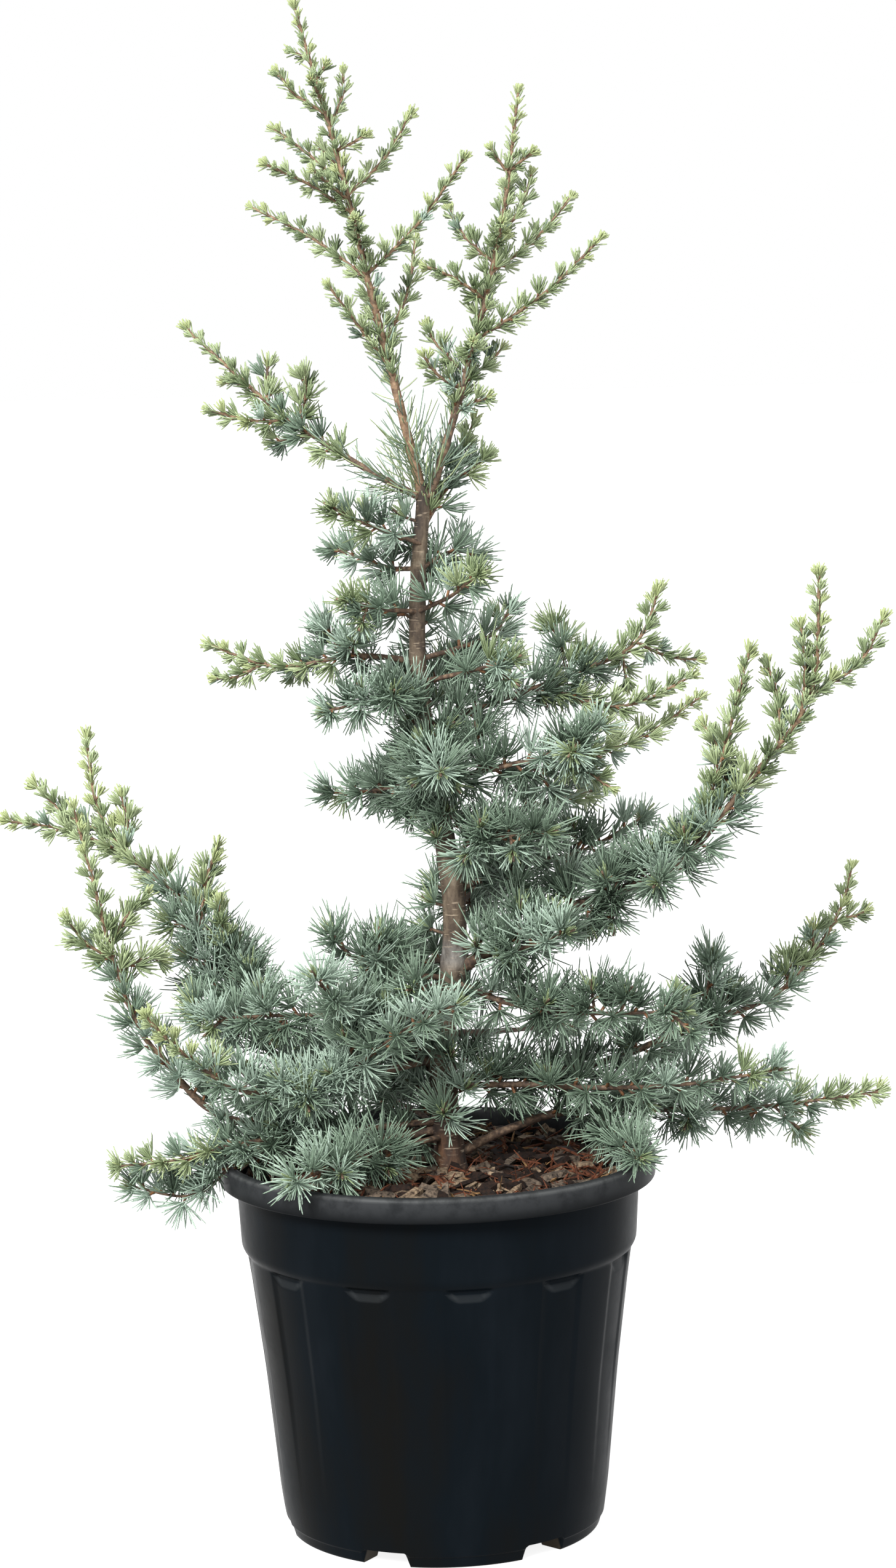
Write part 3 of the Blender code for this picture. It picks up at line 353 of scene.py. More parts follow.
class Nodes:
    """A new material, with short calls for its nodes."""

    def __init__(self, *look):
        self.made, self.shader = new_material(*look)
        self.tree = self.made.node_tree
        self.place = self.add("ShaderNodeTexCoord").outputs["Object"]

    def add(self, kind, inputs=(), **settings):
        node = self.tree.nodes.new(kind)
        for key, value in settings.items():
            setattr(node, key, value)
        for key, value in dict(inputs).items():
            if isinstance(value, bpy.types.NodeSocket):
                self.tree.links.new(value, node.inputs[key])
            else:
                node.inputs[key].default_value = value
        return node

    def upward(self, vector=None):
        return self.add("ShaderNodeSeparateXYZ", {"Vector": vector or self.place}).outputs["Z"]

    def stretched(self, scale):
        return self.add("ShaderNodeMapping", {"Vector": self.place, "Scale": scale}).outputs["Vector"]

    def noise(self, scale, detail=4.0, roughness=0.55, place=None):
        return self.add("ShaderNodeTexNoise", {
            "Vector": place or self.place, "Scale": scale, "Detail": detail, "Roughness": roughness,
        }).outputs["Fac"]

    def between(self, value, low, high, to_low=0.0, to_high=1.0):
        return self.add("ShaderNodeMapRange", {
            "Value": value, "From Min": low, "From Max": high, "To Min": to_low, "To Max": to_high,
        }).outputs["Result"]

    def ramp(self, value, stops):
        node = self.add("ShaderNodeValToRGB", {"Fac": value})
        marks = node.color_ramp.elements
        while len(marks) < len(stops):
            marks.new(0.5)
        for mark, (place, colour) in zip(marks, stops):
            mark.position = place
            mark.color = (*linear(colour), 1.0)
        return node.outputs["Color"]

    def mix(self, share, first, second):
        node = self.add("ShaderNodeMix", data_type="RGBA")
        for key, value in (("Factor", share), ("A", first), ("B", second)):
            socket = next(s for s in node.inputs if s.name == key and s.enabled)
            if isinstance(value, bpy.types.NodeSocket):
                self.tree.links.new(value, socket)
            elif key == "Factor":
                socket.default_value = value
            else:
                socket.default_value = (*linear(value), 1.0)
        return next(s for s in node.outputs if s.enabled)

    def drive(self, key, value):
        self.tree.links.new(value, self.shader.inputs[key])

    def bump(self, height, strength, distance):
        node = self.add("ShaderNodeBump", {"Height": height, "Strength": strength, "Distance": distance})
        self.drive("Normal", node.outputs["Normal"])


def trunk_bark():
    """Grey-brown bark with pale lenticels, browner at its foot and silvery where it is rubbed."""
    nodes = Nodes("trunk_bark", (0.45, 0.42, 0.37), 0.82)
    plates = nodes.noise(95.0, 7.0, 0.62, nodes.stretched((1.0, 1.0, 0.45)))
    grey = nodes.ramp(plates, [(0.30, (0.10, 0.07, 0.045)), (0.46, (0.23, 0.185, 0.14)),
                               (0.60, (0.36, 0.31, 0.25)), (0.74, (0.49, 0.45, 0.39))])
    brown = nodes.ramp(plates, [(0.30, (0.06, 0.03, 0.014)), (0.50, (0.19, 0.115, 0.06)),
                                (0.72, (0.34, 0.23, 0.14))])
    height = nodes.upward()
    colour = nodes.mix(nodes.between(height, 0.350, 0.300), grey, brown)
    silver = nodes.ramp(plates, [(0.38, (0.24, 0.21, 0.18)), (0.60, (0.50, 0.50, 0.49))])
    rubbed = nodes.ramp(nodes.between(height, 0.424, 0.456), [
        (0.05, (0.0, 0.0, 0.0)), (0.40, (0.80, 0.80, 0.80)), (0.65, (0.80, 0.80, 0.80)),
        (0.95, (0.0, 0.0, 0.0))])
    colour = nodes.mix(rubbed, colour, silver)
    dashes = nodes.noise(330.0, 2.0, 0.5, nodes.stretched((0.35, 0.35, 2.6)))
    colour = nodes.mix(nodes.between(dashes, 0.60, 0.70, 0.0, 0.5), colour, (0.62, 0.56, 0.48))
    nodes.drive("Base Color", colour)
    nodes.bump(nodes.noise(420.0, 6.0, 0.65, nodes.stretched((1.0, 1.0, 0.5))), 0.55, 0.0012)
    return nodes.made


def limb_bark(name, dark, middle, light, roughness):
    nodes = Nodes(name, middle, roughness)
    nodes.drive("Base Color", nodes.ramp(nodes.noise(260.0, 5.0, 0.6), [
        (0.33, dark), (0.52, middle), (0.70, light)]))
    nodes.bump(nodes.noise(700.0, 4.0, 0.6), 0.4, 0.0006)
    return nodes.made


def needle_material(name):
    return new_material(name, NEEDLE_PAINTS[name], 0.45)[0]


def pot_plastic():
    """Black plastic with a hint of blue: dust and a painted highlight where it faces up, scuffs and a
    painted highlight along the top of its lip with painted shade towards the lip's foot, and mud under it.
    """
    nodes = Nodes("pot_black_plastic", (0.02, 0.04, 0.06), 0.40, 0.02)
    smears = nodes.noise(8.0, 5.0, 0.6, nodes.stretched((1.0, 1.0, 0.3)))
    body = nodes.ramp(smears, [(0.38, (0.038, 0.039, 0.037)), (0.54, (0.026, 0.042, 0.056)),
                               (0.72, (0.046, 0.062, 0.078))])
    facing = nodes.add("ShaderNodeNewGeometry").outputs["Normal"]
    # Faces that turn up take a pale grey: partly dust, partly a painted highlight where the light catches
    # them
    dust_and_painted_highlight = nodes.mix(nodes.between(nodes.upward(facing), -0.04, 0.60), body, (0.23, 0.24, 0.245))
    height = nodes.upward()
    # The lip grows lighter towards its top edge: partly wear, partly a painted highlight along that edge,
    # with painted shade towards its foot
    lip_wear_and_painted_light = nodes.ramp(nodes.between(height, 0.269, 0.289), [
        (0.08, (0.045, 0.05, 0.055)), (0.45, (0.13, 0.135, 0.14)), (0.80, (0.16, 0.165, 0.17)),
        (0.92, (0.24, 0.245, 0.245)), (0.99, (0.13, 0.135, 0.14))])
    scuffs = nodes.between(nodes.noise(60.0, 6.0, 0.7), 0.44, 0.64, 0.0, 0.6)
    lip = nodes.mix(scuffs, lip_wear_and_painted_light, (0.07, 0.075, 0.08))
    clean = nodes.mix(nodes.between(height, 0.2685, 0.271), dust_and_painted_highlight, lip)
    away = nodes.add("ShaderNodeVectorMath", {0: nodes.stretched((1.0, 1.0, 0.0))},
                     operation="LENGTH").outputs["Value"]
    inside = nodes.between(away, 0.1180, 0.1165)
    muddy = nodes.add("ShaderNodeMath", {0: inside, 1: nodes.between(height, 0.014, 0.010)},
                      operation="MULTIPLY").outputs["Value"]
    nodes.drive("Base Color", nodes.mix(muddy, clean, (0.17, 0.15, 0.12)))
    nodes.drive("Roughness", nodes.between(nodes.noise(26.0, 6.0, 0.7), 0.3, 0.7, 0.26, 0.40))
    nodes.bump(nodes.noise(520.0, 3.0, 0.6), 0.08, 0.0004)
    return nodes.made


def chip_material(name, dark, light):
    nodes = Nodes(name, light, 0.9, 0.2)
    grain = nodes.noise(330.0, 6.0, 0.65)
    nodes.drive("Base Color", nodes.ramp(grain, [(0.36, dark), (0.62, light)]))
    nodes.bump(grain, 0.5, 0.0008)
    return nodes.made


# Meshes

def new_object(name, data):
    made = bpy.data.objects.new(name, data)
    bpy.context.scene.collection.objects.link(made)
    return made


def mesh_piece(name, points, triangles, materials, paints, replaced):
    """A smooth mesh from points in millimetres, riding on the one body."""
    mesh = bpy.data.meshes.new(name)
    mesh.vertices.add(len(points))
    mesh.vertices.foreach_set("co", (np.asarray(points) * MM).ravel())
    mesh.loops.add(3 * len(triangles))
    mesh.loops.foreach_set("vertex_index", np.asarray(triangles).ravel())
    mesh.polygons.add(len(triangles))
    mesh.polygons.foreach_set("loop_start", np.arange(len(triangles)) * 3)
    for made in materials:
        mesh.materials.append(made)
    mesh.polygons.foreach_set("material_index", np.full(len(triangles), paints))
    mesh.update(calc_edges=True)
    mesh.validate()
    mesh.shade_smooth()
    piece = new_object(name, mesh)
    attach(piece, "root")
    if replaced:
        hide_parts(*replaced)
    return piece


class Bag:
    """Gathers many small shapes, which become one mesh."""

    def __init__(self):
        self.points = []
        self.triangles = []
        self.paints = []
        self.size = 0

    def add(self, points, triangles, paint):
        self.points.append(points)
        self.triangles.append(triangles + self.size)
        self.paints.append(np.full(len(triangles), paint))
        self.size += len(points)

    def piece(self, name, materials, replaced, slot):
        return mesh_piece(name, np.concatenate(self.points), np.concatenate(self.triangles), materials,
                          np.concatenate(self.paints), replaced)


def grid_triangles(rings, sides):
    """The triangles between RINGS rings of SIDES points each, facing out."""
    ring, side = np.meshgrid(np.arange(rings - 1), np.arange(sides), indexing="ij")
    a = ring * sides + side
    b = ring * sides + (side + 1) % sides
    lower = np.stack([a, b, b + sides], axis=-1).reshape(-1, 3)
    upper = np.stack([a, b + sides, a + sides], axis=-1).reshape(-1, 3)
    return np.concatenate([lower, upper])


def closed_triangles(rings, sides):
    """The same, closed at both ends by fans to two last points."""
    first = rings * sides
    caps = []
    for side in range(sides):
        after = (side + 1) % sides
        caps.append((first, after, side))
        caps.append((first + 1, first - sides + side, first - sides + after))
    return np.concatenate([grid_triangles(rings, sides), np.array(caps)])


def tube(centres, radii, sides, relief=None):
    """A closed tube round CENTRES; RELIEF(ring, angle) gives the share by which its skin swells."""
    count = len(centres)
    headings = unit(np.gradient(centres, axis=0))
    across = Vector(headings[0]).orthogonal().normalized()
    angles = np.arange(sides) * math.tau / sides
    points = np.zeros((count, sides, 3))
    for ring in range(count):
        heading = Vector(headings[ring])
        across = (across - heading * across.dot(heading)).normalized()
        other = heading.cross(across)
        skin = radii[ring] * (1.0 + (relief(ring, angles) if relief else 0.0))
        points[ring] = (centres[ring] + np.outer(np.cos(angles) * skin, across)
                        + np.outer(np.sin(angles) * skin, other))
    flat = np.concatenate([points.reshape(-1, 3), centres[:1], centres[-1:]])
    return flat, closed_triangles(count, sides)


# Paths of trunk, limbs and shoots

class Path:
    """A smooth run through given corners, in millimetres, looked up by its share of the length."""

    SPAN_STEPS = 12

    def __init__(self, corners):
        corners = np.array(corners, float)
        ends = np.vstack([2 * corners[0] - corners[1], corners, 2 * corners[-1] - corners[-2]])
        steps = np.arange(self.SPAN_STEPS)[:, None] / self.SPAN_STEPS
        spans = [self.between(*four, steps) for four in zip(ends, ends[1:], ends[2:], ends[3:])]
        self.points = np.vstack(spans + [corners[-1:]])
        self.reach = np.append(0.0, np.cumsum(np.linalg.norm(np.diff(self.points, axis=0), axis=1)))
        self.length = self.reach[-1]

    @staticmethod
    def between(a, b, c, d, t):
        """Points of the Catmull-Rom span from B to C."""
        return 0.5 * (2 * b + (c - a) * t + (2 * a - 5 * b + 4 * c - d) * t**2
                      + (3 * b - 3 * c + d - a) * t**3)

    def at(self, share):
        goal = np.clip(share, 0.0, 1.0) * self.length
        return np.stack([np.interp(goal, self.reach, axis) for axis in self.points.T], axis=-1)

    def heading(self, share):
        return unit(self.at(share + 0.01) - self.at(share - 0.01))


def from_front(across, height, depth):
    """The true place of a point read in the front view, DEPTH behind the pot's axis."""
    flat = np.array((across, 0.0, height))
    return EYE + (flat - EYE) * ((depth - EYE[1]) / -EYE[1])


def limb_path(limb):
    """The limb's true path: its depth grows evenly with its length in the front view."""
    flat = np.array(limb.path, float)
    run = np.append(0.0, np.cumsum(np.linalg.norm(np.diff(flat, axis=0), axis=1)))
    return Path([from_front(*place, limb.depth * reach / run[-1]) for place, reach in zip(flat, run)])


def shoot_path(path, shoot, depth):
    """A shoot's path from its limb to its tip, with a bow across the line between them."""
    start = path.at(shoot.share)
    tip = from_front(shoot.across, shoot.height, depth * shoot.share + shoot.depth)
    across = unit(np.cross(tip - start, (0.0, 1.0, 0.0)))
    return Path([start, (start + tip) / 2 + across * shoot.bow, tip])


def side_of(heading, angle):
    """A direction square to HEADING, turned round it by ANGLE."""
    side = Vector(heading).orthogonal().normalized()
    side.rotate(Matrix.Rotation(angle, 3, Vector(heading)))
    return np.array(side)


def fill_shoots(limb, path, draw):
    """Short side shoots round an old stem, set apart by the golden angle."""
    found = []
    stretch = path.length * (1.0 - limb.bare)
    count = int(stretch / FILL_EVERY)
    angle = draw.uniform(0.0, math.tau)
    for index in range(count):
        share = blend(limb.bare, 1.0, (index + 0.6) / (count + 0.6))
        angle += GOLDEN_ANGLE
        if blend(*limb.young, share) > FILL_OLD:
            continue
        heading = path.heading(share)
        start = path.at(share)
        outward, forward, upward = FILL_HEADING
        way = side_of(heading, angle) * outward + heading * forward + UP * upward
        tip = start + way * draw.uniform(*FILL_LENGTH)
        found.append((share, Path([start, (start + tip) / 2 - UP * FILL_SAG, tip])))
    return found


trunk_line = np.array([from_front(*row[:3]) for row in TRUNK])
trunk_line[1, :2] = trunk_line[0, :2]
trunk_radii = np.array([row[3] for row in TRUNK])


def trunk_at(height):
    """The trunk's middle and radius at a height, or at each of many."""
    middle = np.stack([np.interp(height, trunk_line[:, 2], axis) for axis in trunk_line.T], axis=-1)
    return middle, np.interp(height, trunk_line[:, 2], trunk_radii)


def in_trunk(points):
    """Whether each point lies inside the trunk, or close to its bark."""
    middle, radius = trunk_at(points[:, 2])
    away = np.hypot(points[:, 0] - middle[:, 0], points[:, 1] - middle[:, 1])
    return (away < radius + TRUNK_CLEARANCE) & (points[:, 2] < trunk_line[-1, 2])


# Pot sizes, in millimetres, as the source has them
POT_HEIGHT = 289.0
LIP_RADIUS = 165.0
LIP_FOOT = 270.0
COLLAR_TOP_RADIUS = 152.4
COLLAR_FOOT = 219.5
WALL_TOP = 204.0
WALL_TOP_RADIUS = 144.0
WALL_MIDDLE = 125.0
WALL_MIDDLE_RADIUS = 134.1
WALL_FOOT = 35.0
WALL_FOOT_RADIUS = 125.2
WALL_BAND = 1.5              # points this near to the outer wall's line belong to it
STEP_TOP = 9.6
STEP_TOP_RADIUS = 121.6
BASE_RADIUS = 117.8
FLOOR_RADIUS = 118.5
FLOOR_UNDER = 12.0
FLOOR_TOP = 14.8
FOOT_RING_INNER = 98.0
PAD_RADIUS = 26.0
FLUTES = 12
FLUTE_TURN = -81.3           # middle of one flute, seen from above, in degrees
FLUTE_HALF = 6.8
FLUTE_EDGE = 1.8             # width of a flute's soft side, in degrees
FLUTE_DEPTH = 1.0
FLUTE_LINES = (1.9, 3.1, 4.3, 5.4, 6.2, 7.0, 7.7)    # degrees from its middle where the mesh has lines
FLUTE_FADE = (110.0, 4.0)    # heights over which a flute deepens from its foot and from its top
HEAD_TOP = 217.0             # the dent over each flute, whose lower side slopes out to the flute
HEAD_MIDDLE = 215.0
HEAD_FOOT = 205.5
HEAD_DEPTH = 1.9
HEAD_HALF = (3.8, 6.6)       # degrees from its middle to its sides, at its foot and its middle
HEAD_EDGE = 2.8              # width of a head's soft side, in degrees
FEET = 6
FOOT_GAP_TURN = -112.0
FOOT_GAP_HALF = (7.4, 9.2)   # degrees from a gap's middle to its sides, at its roof and at the ground
FOOT_GAP_RISE = 11.0
FOOT_GAP_LINES = (7.4, 8.3, 9.2, 9.5)
ANGLE_STEP = 1.2             # degrees between the mesh's other lines
CLOSEST_LINES = 0.15
MULCH_TOP = 271.5

# Where no needle may be: radius and top of the mulch, and radii, foot and top of the pot's lip and collar
MULCH_SPACE = (152.0, MULCH_TOP + 1.0)
LIP_SPACE = (147.0, LIP_RADIUS + 0.6, 210.0, POT_HEIGHT + 0.6)


def in_pot(points):
    """Whether each point lies inside the mulch, or the pot's lip and collar."""
    radius = np.hypot(points[:, 0], points[:, 1])
    height = points[:, 2]
    inner, outer, foot, top = LIP_SPACE
    in_lip = (radius > inner) & (radius < outer) & (height > foot) & (height < top)
    return in_lip | (radius < MULCH_SPACE[0]) & (height < MULCH_SPACE[1])


# Needles

# Rings of a needle: how far along it each stands, and its share of the needle's radius
NEEDLE_RINGS = ((0.0, 0.70), (0.52, 1.0), (0.94, 0.84))


class Needles:
    """Rows of needles, kept as numbers until they become meshes."""

    def __init__(self):
        self.rows = []
        self.count = 0

    def add(self, roots, ways, lengths, radii, bends, paints):
        tips = roots + ways * lengths[:, None] + bends
        keep = ~(in_trunk(tips) | in_pot(tips) | in_pot((roots + tips) / 2))
        self.rows.append((roots[keep], ways[keep], lengths[keep], radii[keep], bends[keep], paints[keep]))
        self.count += int(keep.sum())

    def take(self, other):
        self.rows += other.rows
        self.count += other.count

    def shapes(self):
        """All points, triangles and paints: each needle is a three-sided rod with a blunt tip."""
        roots, ways, lengths, radii, bends, paints = (np.concatenate(part) for part in zip(*self.rows))
        across = unit(np.cross(ways, np.where(np.abs(ways[:, 2:]) > 0.9, (1.0, 0.0, 0.0), (0.0, 0.0, 1.0))))
        other = np.cross(ways, across)
        points = []
        for reach, thick in NEEDLE_RINGS:
            centre = roots + ways * (lengths * reach)[:, None] + bends * reach**2
            for side in range(3):
                angle = side * math.tau / 3
                skin = (radii * thick)[:, None] * (across * math.cos(angle) + other * math.sin(angle))
                points.append(centre + skin)
        points.append(roots + ways * lengths[:, None] + bends)
        points = np.stack(points, axis=1)
        rings = len(NEEDLE_RINGS)
        tip = 3 * rings
        caps = [(tip - 3 + side, tip - 3 + (side + 1) % 3, tip) for side in range(3)]
        one = np.concatenate([grid_triangles(rings, 3), np.array(caps)])
        triangles = one[None] + np.arange(len(roots))[:, None, None] * (tip + 1)
        return points.reshape(-1, 3), triangles.reshape(-1, 3), np.repeat(paints, len(one))

    def piece(self, name, leaves, masses):
        points, triangles, paints = self.shapes()
        mesh_piece(name, points, triangles, leaves, paints, masses)


class Growth:
    """What one limb grows: its needles, the bag for its bark, and the random draws for both.

    The second row of draws is the one that the source makes for its side shoots.
    """

    def __init__(self, bag, seed):
        self.needles = Needles()
        self.bag = bag
        self.rng = np.random.default_rng(seed)
        self.source_draw = random.Random(seed)


# A limb or shoot: its path, its radius at a share of its length, and its Ages
Stem = namedtuple("Stem", "path radius ages")


def spray(growth, place, axis, age, paint, count, length, spread, start=0.0):
    """Needles that stand out of one place round AXIS, evenly spread from START to SPREAD degrees."""
    rng = growth.rng
    count = int(round(count))
    order = np.arange(count)
    polar = np.radians(blend(start, spread, np.sqrt((order + 0.5) / count)) + rng.normal(0.0, 4.0, count))
    turn = order * GOLDEN_ANGLE + rng.uniform(0.0, math.tau) + rng.normal(0.0, 0.15, count)
    across = np.array(Vector(axis).orthogonal().normalized())
    other = np.cross(axis, across)
    ways = (np.cos(polar)[:, None] * axis + np.sin(polar)[:, None]
            * (np.cos(turn)[:, None] * across + np.sin(turn)[:, None] * other))
    lengths = length * rng.uniform(0.86, 1.06, count) * (0.86 + 0.14 * np.sin(polar))
    bend = by_age(NEEDLE_SAG, age) * rng.uniform(0.4, 1.6, count)
    bends = (axis * 0.8 + UP * 0.4 + rng.normal(0.0, 0.4, (count, 3))) * (bend * lengths)[:, None]
    radii = by_age(NEEDLE_RADIUS, age) * rng.uniform(0.88, 1.1, count)
    growth.needles.add(place + ways * 0.7, unit(ways), lengths, radii, bends, np.full(count, paint))


def spray_paint(age, share, rng, pale=0.0):
    """The paint of one spray, from the wood's age, how near the shoot's tip it is, and
    PAINTED_LIGHT_BY_LIMB, the painted light that its limb gets, which goes below zero for painted shade.
    """
    tip = max(0.0, share - 0.8) / 0.2
    green = age * 1.1 - 0.25 + 0.35 * tip * age + rng.normal(0.0, 0.16)
    # pale adds the limb's painted light, and below zero takes some away as painted shade
    light = rng.uniform(0.0, 1.0) + 0.45 * tip + 0.25 * age + pale
    return PAINT_STARTS[bisect(GREEN_MARKS, green)] + bisect(LIGHT_MARKS, light)


def spur(bag, place, axis, age):
    """The short woody stub that carries a spray, with its bud."""
    length = by_age(SPUR_LENGTH, age)
    reaches = np.array((-SPUR_END, 0.9 * length, length + SPUR_END))
    radii = blend(*SPUR_RADIUS, age) * np.array((1.0, 1.0, 0.4))
    points, triangles = tube(place + axis * reaches[:, None], radii, 5)
    bag.add(points, triangles, BUD if age < BUDDED_BELOW else BARK_YOUNG)
    return place + axis * length


def rosettes(growth, stem, start, stop, every=None):
    """Spurs with their sprays, round a stem from START to STOP."""
    path, radius, ages = stem
    rng = growth.rng
    share = start + 0.5 * (every or by_age(SPUR_EVERY, ages.base)) / path.length
    angle = rng.uniform(0.0, math.tau)
    while share < stop:
        age = ripened(ages, share)
        heading = path.heading(share)
        angle += GOLDEN_ANGLE + rng.normal(0.0, 0.2)
        side = side_of(heading, angle)
        lean = math.radians(by_age(SPUR_LEAN, age) + rng.normal(0.0, 6.0))
        axis = unit(side * math.cos(lean) + heading * math.sin(lean) + UP * 0.12)
        place = spur(growth.bag, path.at(share) + side * radius(share) * 0.9, axis, age)
        paint = spray_paint(age, share, rng, ages.pale)
        size = blend(1.0, ages.full, age)
        count = by_age(SPRAY_COUNT, age) * size * rng.uniform(0.85, 1.15)
        shrink = 1.0 - 0.25 * max(0.0, share - 0.7) / 0.3      # shorter over the last third
        length = by_age(NEEDLE_LENGTH, age) * size * shrink * rng.uniform(0.9, 1.08)
        spray(growth, place, axis, age, paint, count, length, by_age(SPRAY_SPREAD, age))
        share += (every or by_age(SPUR_EVERY, age)) * rng.uniform(0.8, 1.2) / path.length


def dress(growth, stem, start):
    """Spurs with sprays, single needles and a tip for one stem, from START to its end."""
    path, _, ages = stem
    tuft = by_age(NEEDLE_LENGTH, ages.tip) * blend(1.0, ages.full, ages.tip)
    stop = 1.0 - 0.75 * tuft / path.length
    rosettes(growth, stem, start, stop)
    single_needles(growth, stem, start, stop)
    end = (path.at(stop), path.heading(0.99), ages.tip)
    if ages.tip < TUFTED_ABOVE:
        paint = spray_paint(ages.tip, 0.7, growth.rng, ages.pale)
        spray(growth, *end, paint, by_age(SPRAY_COUNT, ages.tip), tuft, 88.0, 40.0)
        spray(growth, *end, PAINT_NAMES.index("needle_green"), 12, 0.6 * tuft, 38.0)
    else:
        fresh = "needle_fresh" if ages.tip > FRESH_ABOVE else "needle_green_pale"
        spray(growth, *end, PAINT_NAMES.index(fresh), 14, 0.95 * tuft, 40.0)


def spread_out(length, start, stop, every, rng):
    """Shares of a stem's LENGTH from START to STOP, about EVERY millimetres apart."""
    count = max(0, int((stop - start) * length / every))
    return blend(start, stop, (np.arange(count) + rng.uniform(0.0, 1.0, count)) / max(1, count))


def standing_alone(stem, shares, turns, leans):
    """Roots and ways of needles that leave a stem's skin one by one, the stem's headings, and its sides."""
    headings = stem.path.heading(shares)
    sides = np.array([side_of(heading, turn) for heading, turn in zip(headings, turns)])
    lean = np.radians(leans)[:, None]
    roots = stem.path.at(shares) + sides * stem.radius(shares)[:, None] * 0.8
    return roots, sides * np.cos(lean) + headings * np.sin(lean), headings, sides


def single_needles(growth, stem, start, stop):
    """Needles that stand alone along young wood, pointing forward."""
    rng = growth.rng
    shares = spread_out(stem.path.length, start, stop, SINGLE_EVERY, rng)
    shares = shares[ripened(stem.ages, shares) > rng.uniform(0.25, 0.6, len(shares))]
    count = len(shares)
    if count:
        turns = np.arange(count) * GOLDEN_ANGLE + rng.uniform(0.0, math.tau)
        roots, ways, _, sides = standing_alone(stem, shares, turns, rng.uniform(44.0, 68.0, count))
        lengths = SINGLE_LENGTH * rng.uniform(0.7, 1.15, count)
        paints = np.array([spray_paint(0.75, share, rng) for share in shares])
        bends = sides * lengths[:, None] * 0.08
        growth.needles.add(roots, ways, lengths, np.full(count, SINGLE_RADIUS), bends, paints)


def long_needles(growth, stem, start, stop, every, reach):
    """Long thin needles that stand alone on the bare stretch of a limb."""
    rng = growth.rng
    shares = spread_out(stem.path.length, start, stop, every, rng)
    count = len(shares)
    if count:
        turns = rng.uniform(0.0, math.tau, count)
        roots, ways, headings, _ = standing_alone(stem, shares, turns, rng.uniform(15.0, 60.0, count))
        lengths = rng.uniform(*reach, count)
        paints = np.array([spray_paint(0.55, 0.5, rng) for _ in shares])
        bends = (headings + UP) * (lengths * rng.uniform(0.06, 0.24, count))[:, None]
        growth.needles.add(roots, ways, lengths, np.full(count, LONG_RADIUS), bends, paints)


# Bark of limbs and twigs

def add_bark(growth, stem, stop, sides, step):
    """The bark of one stem, ridged along it, painted from its old foot to its young tip."""
    path, radius, ages = stem
    count = max(4, int(stop * path.length / step))
    shares = np.linspace(0.0, stop, count)
    seed = growth.rng.uniform(0.0, 100.0)

    def relief(ring, angles):
        along = shares[ring] * path.length
        rough = [0.16 * noise.noise((math.cos(a) * 1.6 + seed, math.sin(a) * 1.6, along / 9.0))
                 + 0.09 * noise.noise((math.cos(a) * 3.5, math.sin(a) * 3.5 + seed, along / 3.0))
                 for a in angles]
        return np.array(rough)

    points, triangles = tube(path.at(shares), radius(shares), sides, relief)
    rings = np.clip(triangles.min(axis=1) // sides, 0, count - 1)
    paints = [bisect(TWIG_AGES, age) for age in ripened(ages, shares[rings])]
    growth.bag.add(points, triangles, np.array(paints))


def shoot_radius(share):
    return blend(SHOOT_RADIUS, TWIG_TIP_RADIUS, np.asarray(share))


def grow_limb(growth, limb):
    """One limb with all that it carries."""
    name = limb.name
    path = limb_path(limb)
    # Its Ages carry how much paler its sprays are painted: painted light at the left, painted shade at the
    # right
    ages = Ages(*limb.young, LATE.get(name, 0.0), PAINTED_LIGHT_BY_LIMB.get(name, 0.0), FULL.get(name, 1.0))

    def radius(share):
        return blend(limb.radius, TWIG_TIP_RADIUS, np.asarray(share) ** 0.8)

    whole = Stem(path, radius, ages)
    add_bark(growth, whole, *LIMB_BARK)
    dress(growth, whole, max(limb.bare, BARE_LENGTH / path.length, BARE_FOOT.get(name, 0.0)))
    if name in CLOTHED:
        clear, every = CLOTHED[name]
        rosettes(growth, whole, clear / path.length, limb.bare, every)
    elif limb.bare:
        long_needles(growth, whole, 0.0, 0.5 * limb.bare, *LONG_DENSE)
        long_needles(growth, whole, 0.4 * limb.bare, limb.bare + 0.12, *LONG_SPARSE)
    named = [(shoot.share, shoot_path(path, shoot, limb.depth)) for shoot in limb.shoots]
    for share, run in named + fill_shoots(limb, path, growth.source_draw):
        age = ripened(ages, share)
        own = ages._replace(base=age, tip=min(1.0, age + 0.2), late=0.0)
        if run.length > LONG_SHOOT and run.at(1.0)[2] > YOUNG_ABOVE and ages.tip > YOUNG_LIMB:
            own = ages._replace(base=max(age, 0.35 + 0.4 * ages.tip), tip=1.0, late=0.0)
        shoot = Stem(run, shoot_radius, own)
        add_bark(growth, shoot, *SHOOT_BARK)
        dress(growth, shoot, radius(share) / run.length)


def grow_trunk_shoots(growth):
    """Short shoots with old rosettes that stand on the trunk itself."""
    for height, turn, reach in TRUNK_SHOOTS:
        base, skin = trunk_at(height)
        way = np.array((math.cos(math.radians(turn)), math.sin(math.radians(turn)), 0.35))
        run = Path([base + way * 0.5 * skin, base + way * (skin + 0.4 * reach),
                    base + way * (skin + reach) + UP * TRUNK_SHOOT_RISE])
        shoot = Stem(run, shoot_radius, TRUNK_SHOOT_AGES)
        add_bark(growth, shoot, *TRUNK_SHOOT_BARK)
        dress(growth, shoot, (0.6 * skin + 4.0) / run.length)


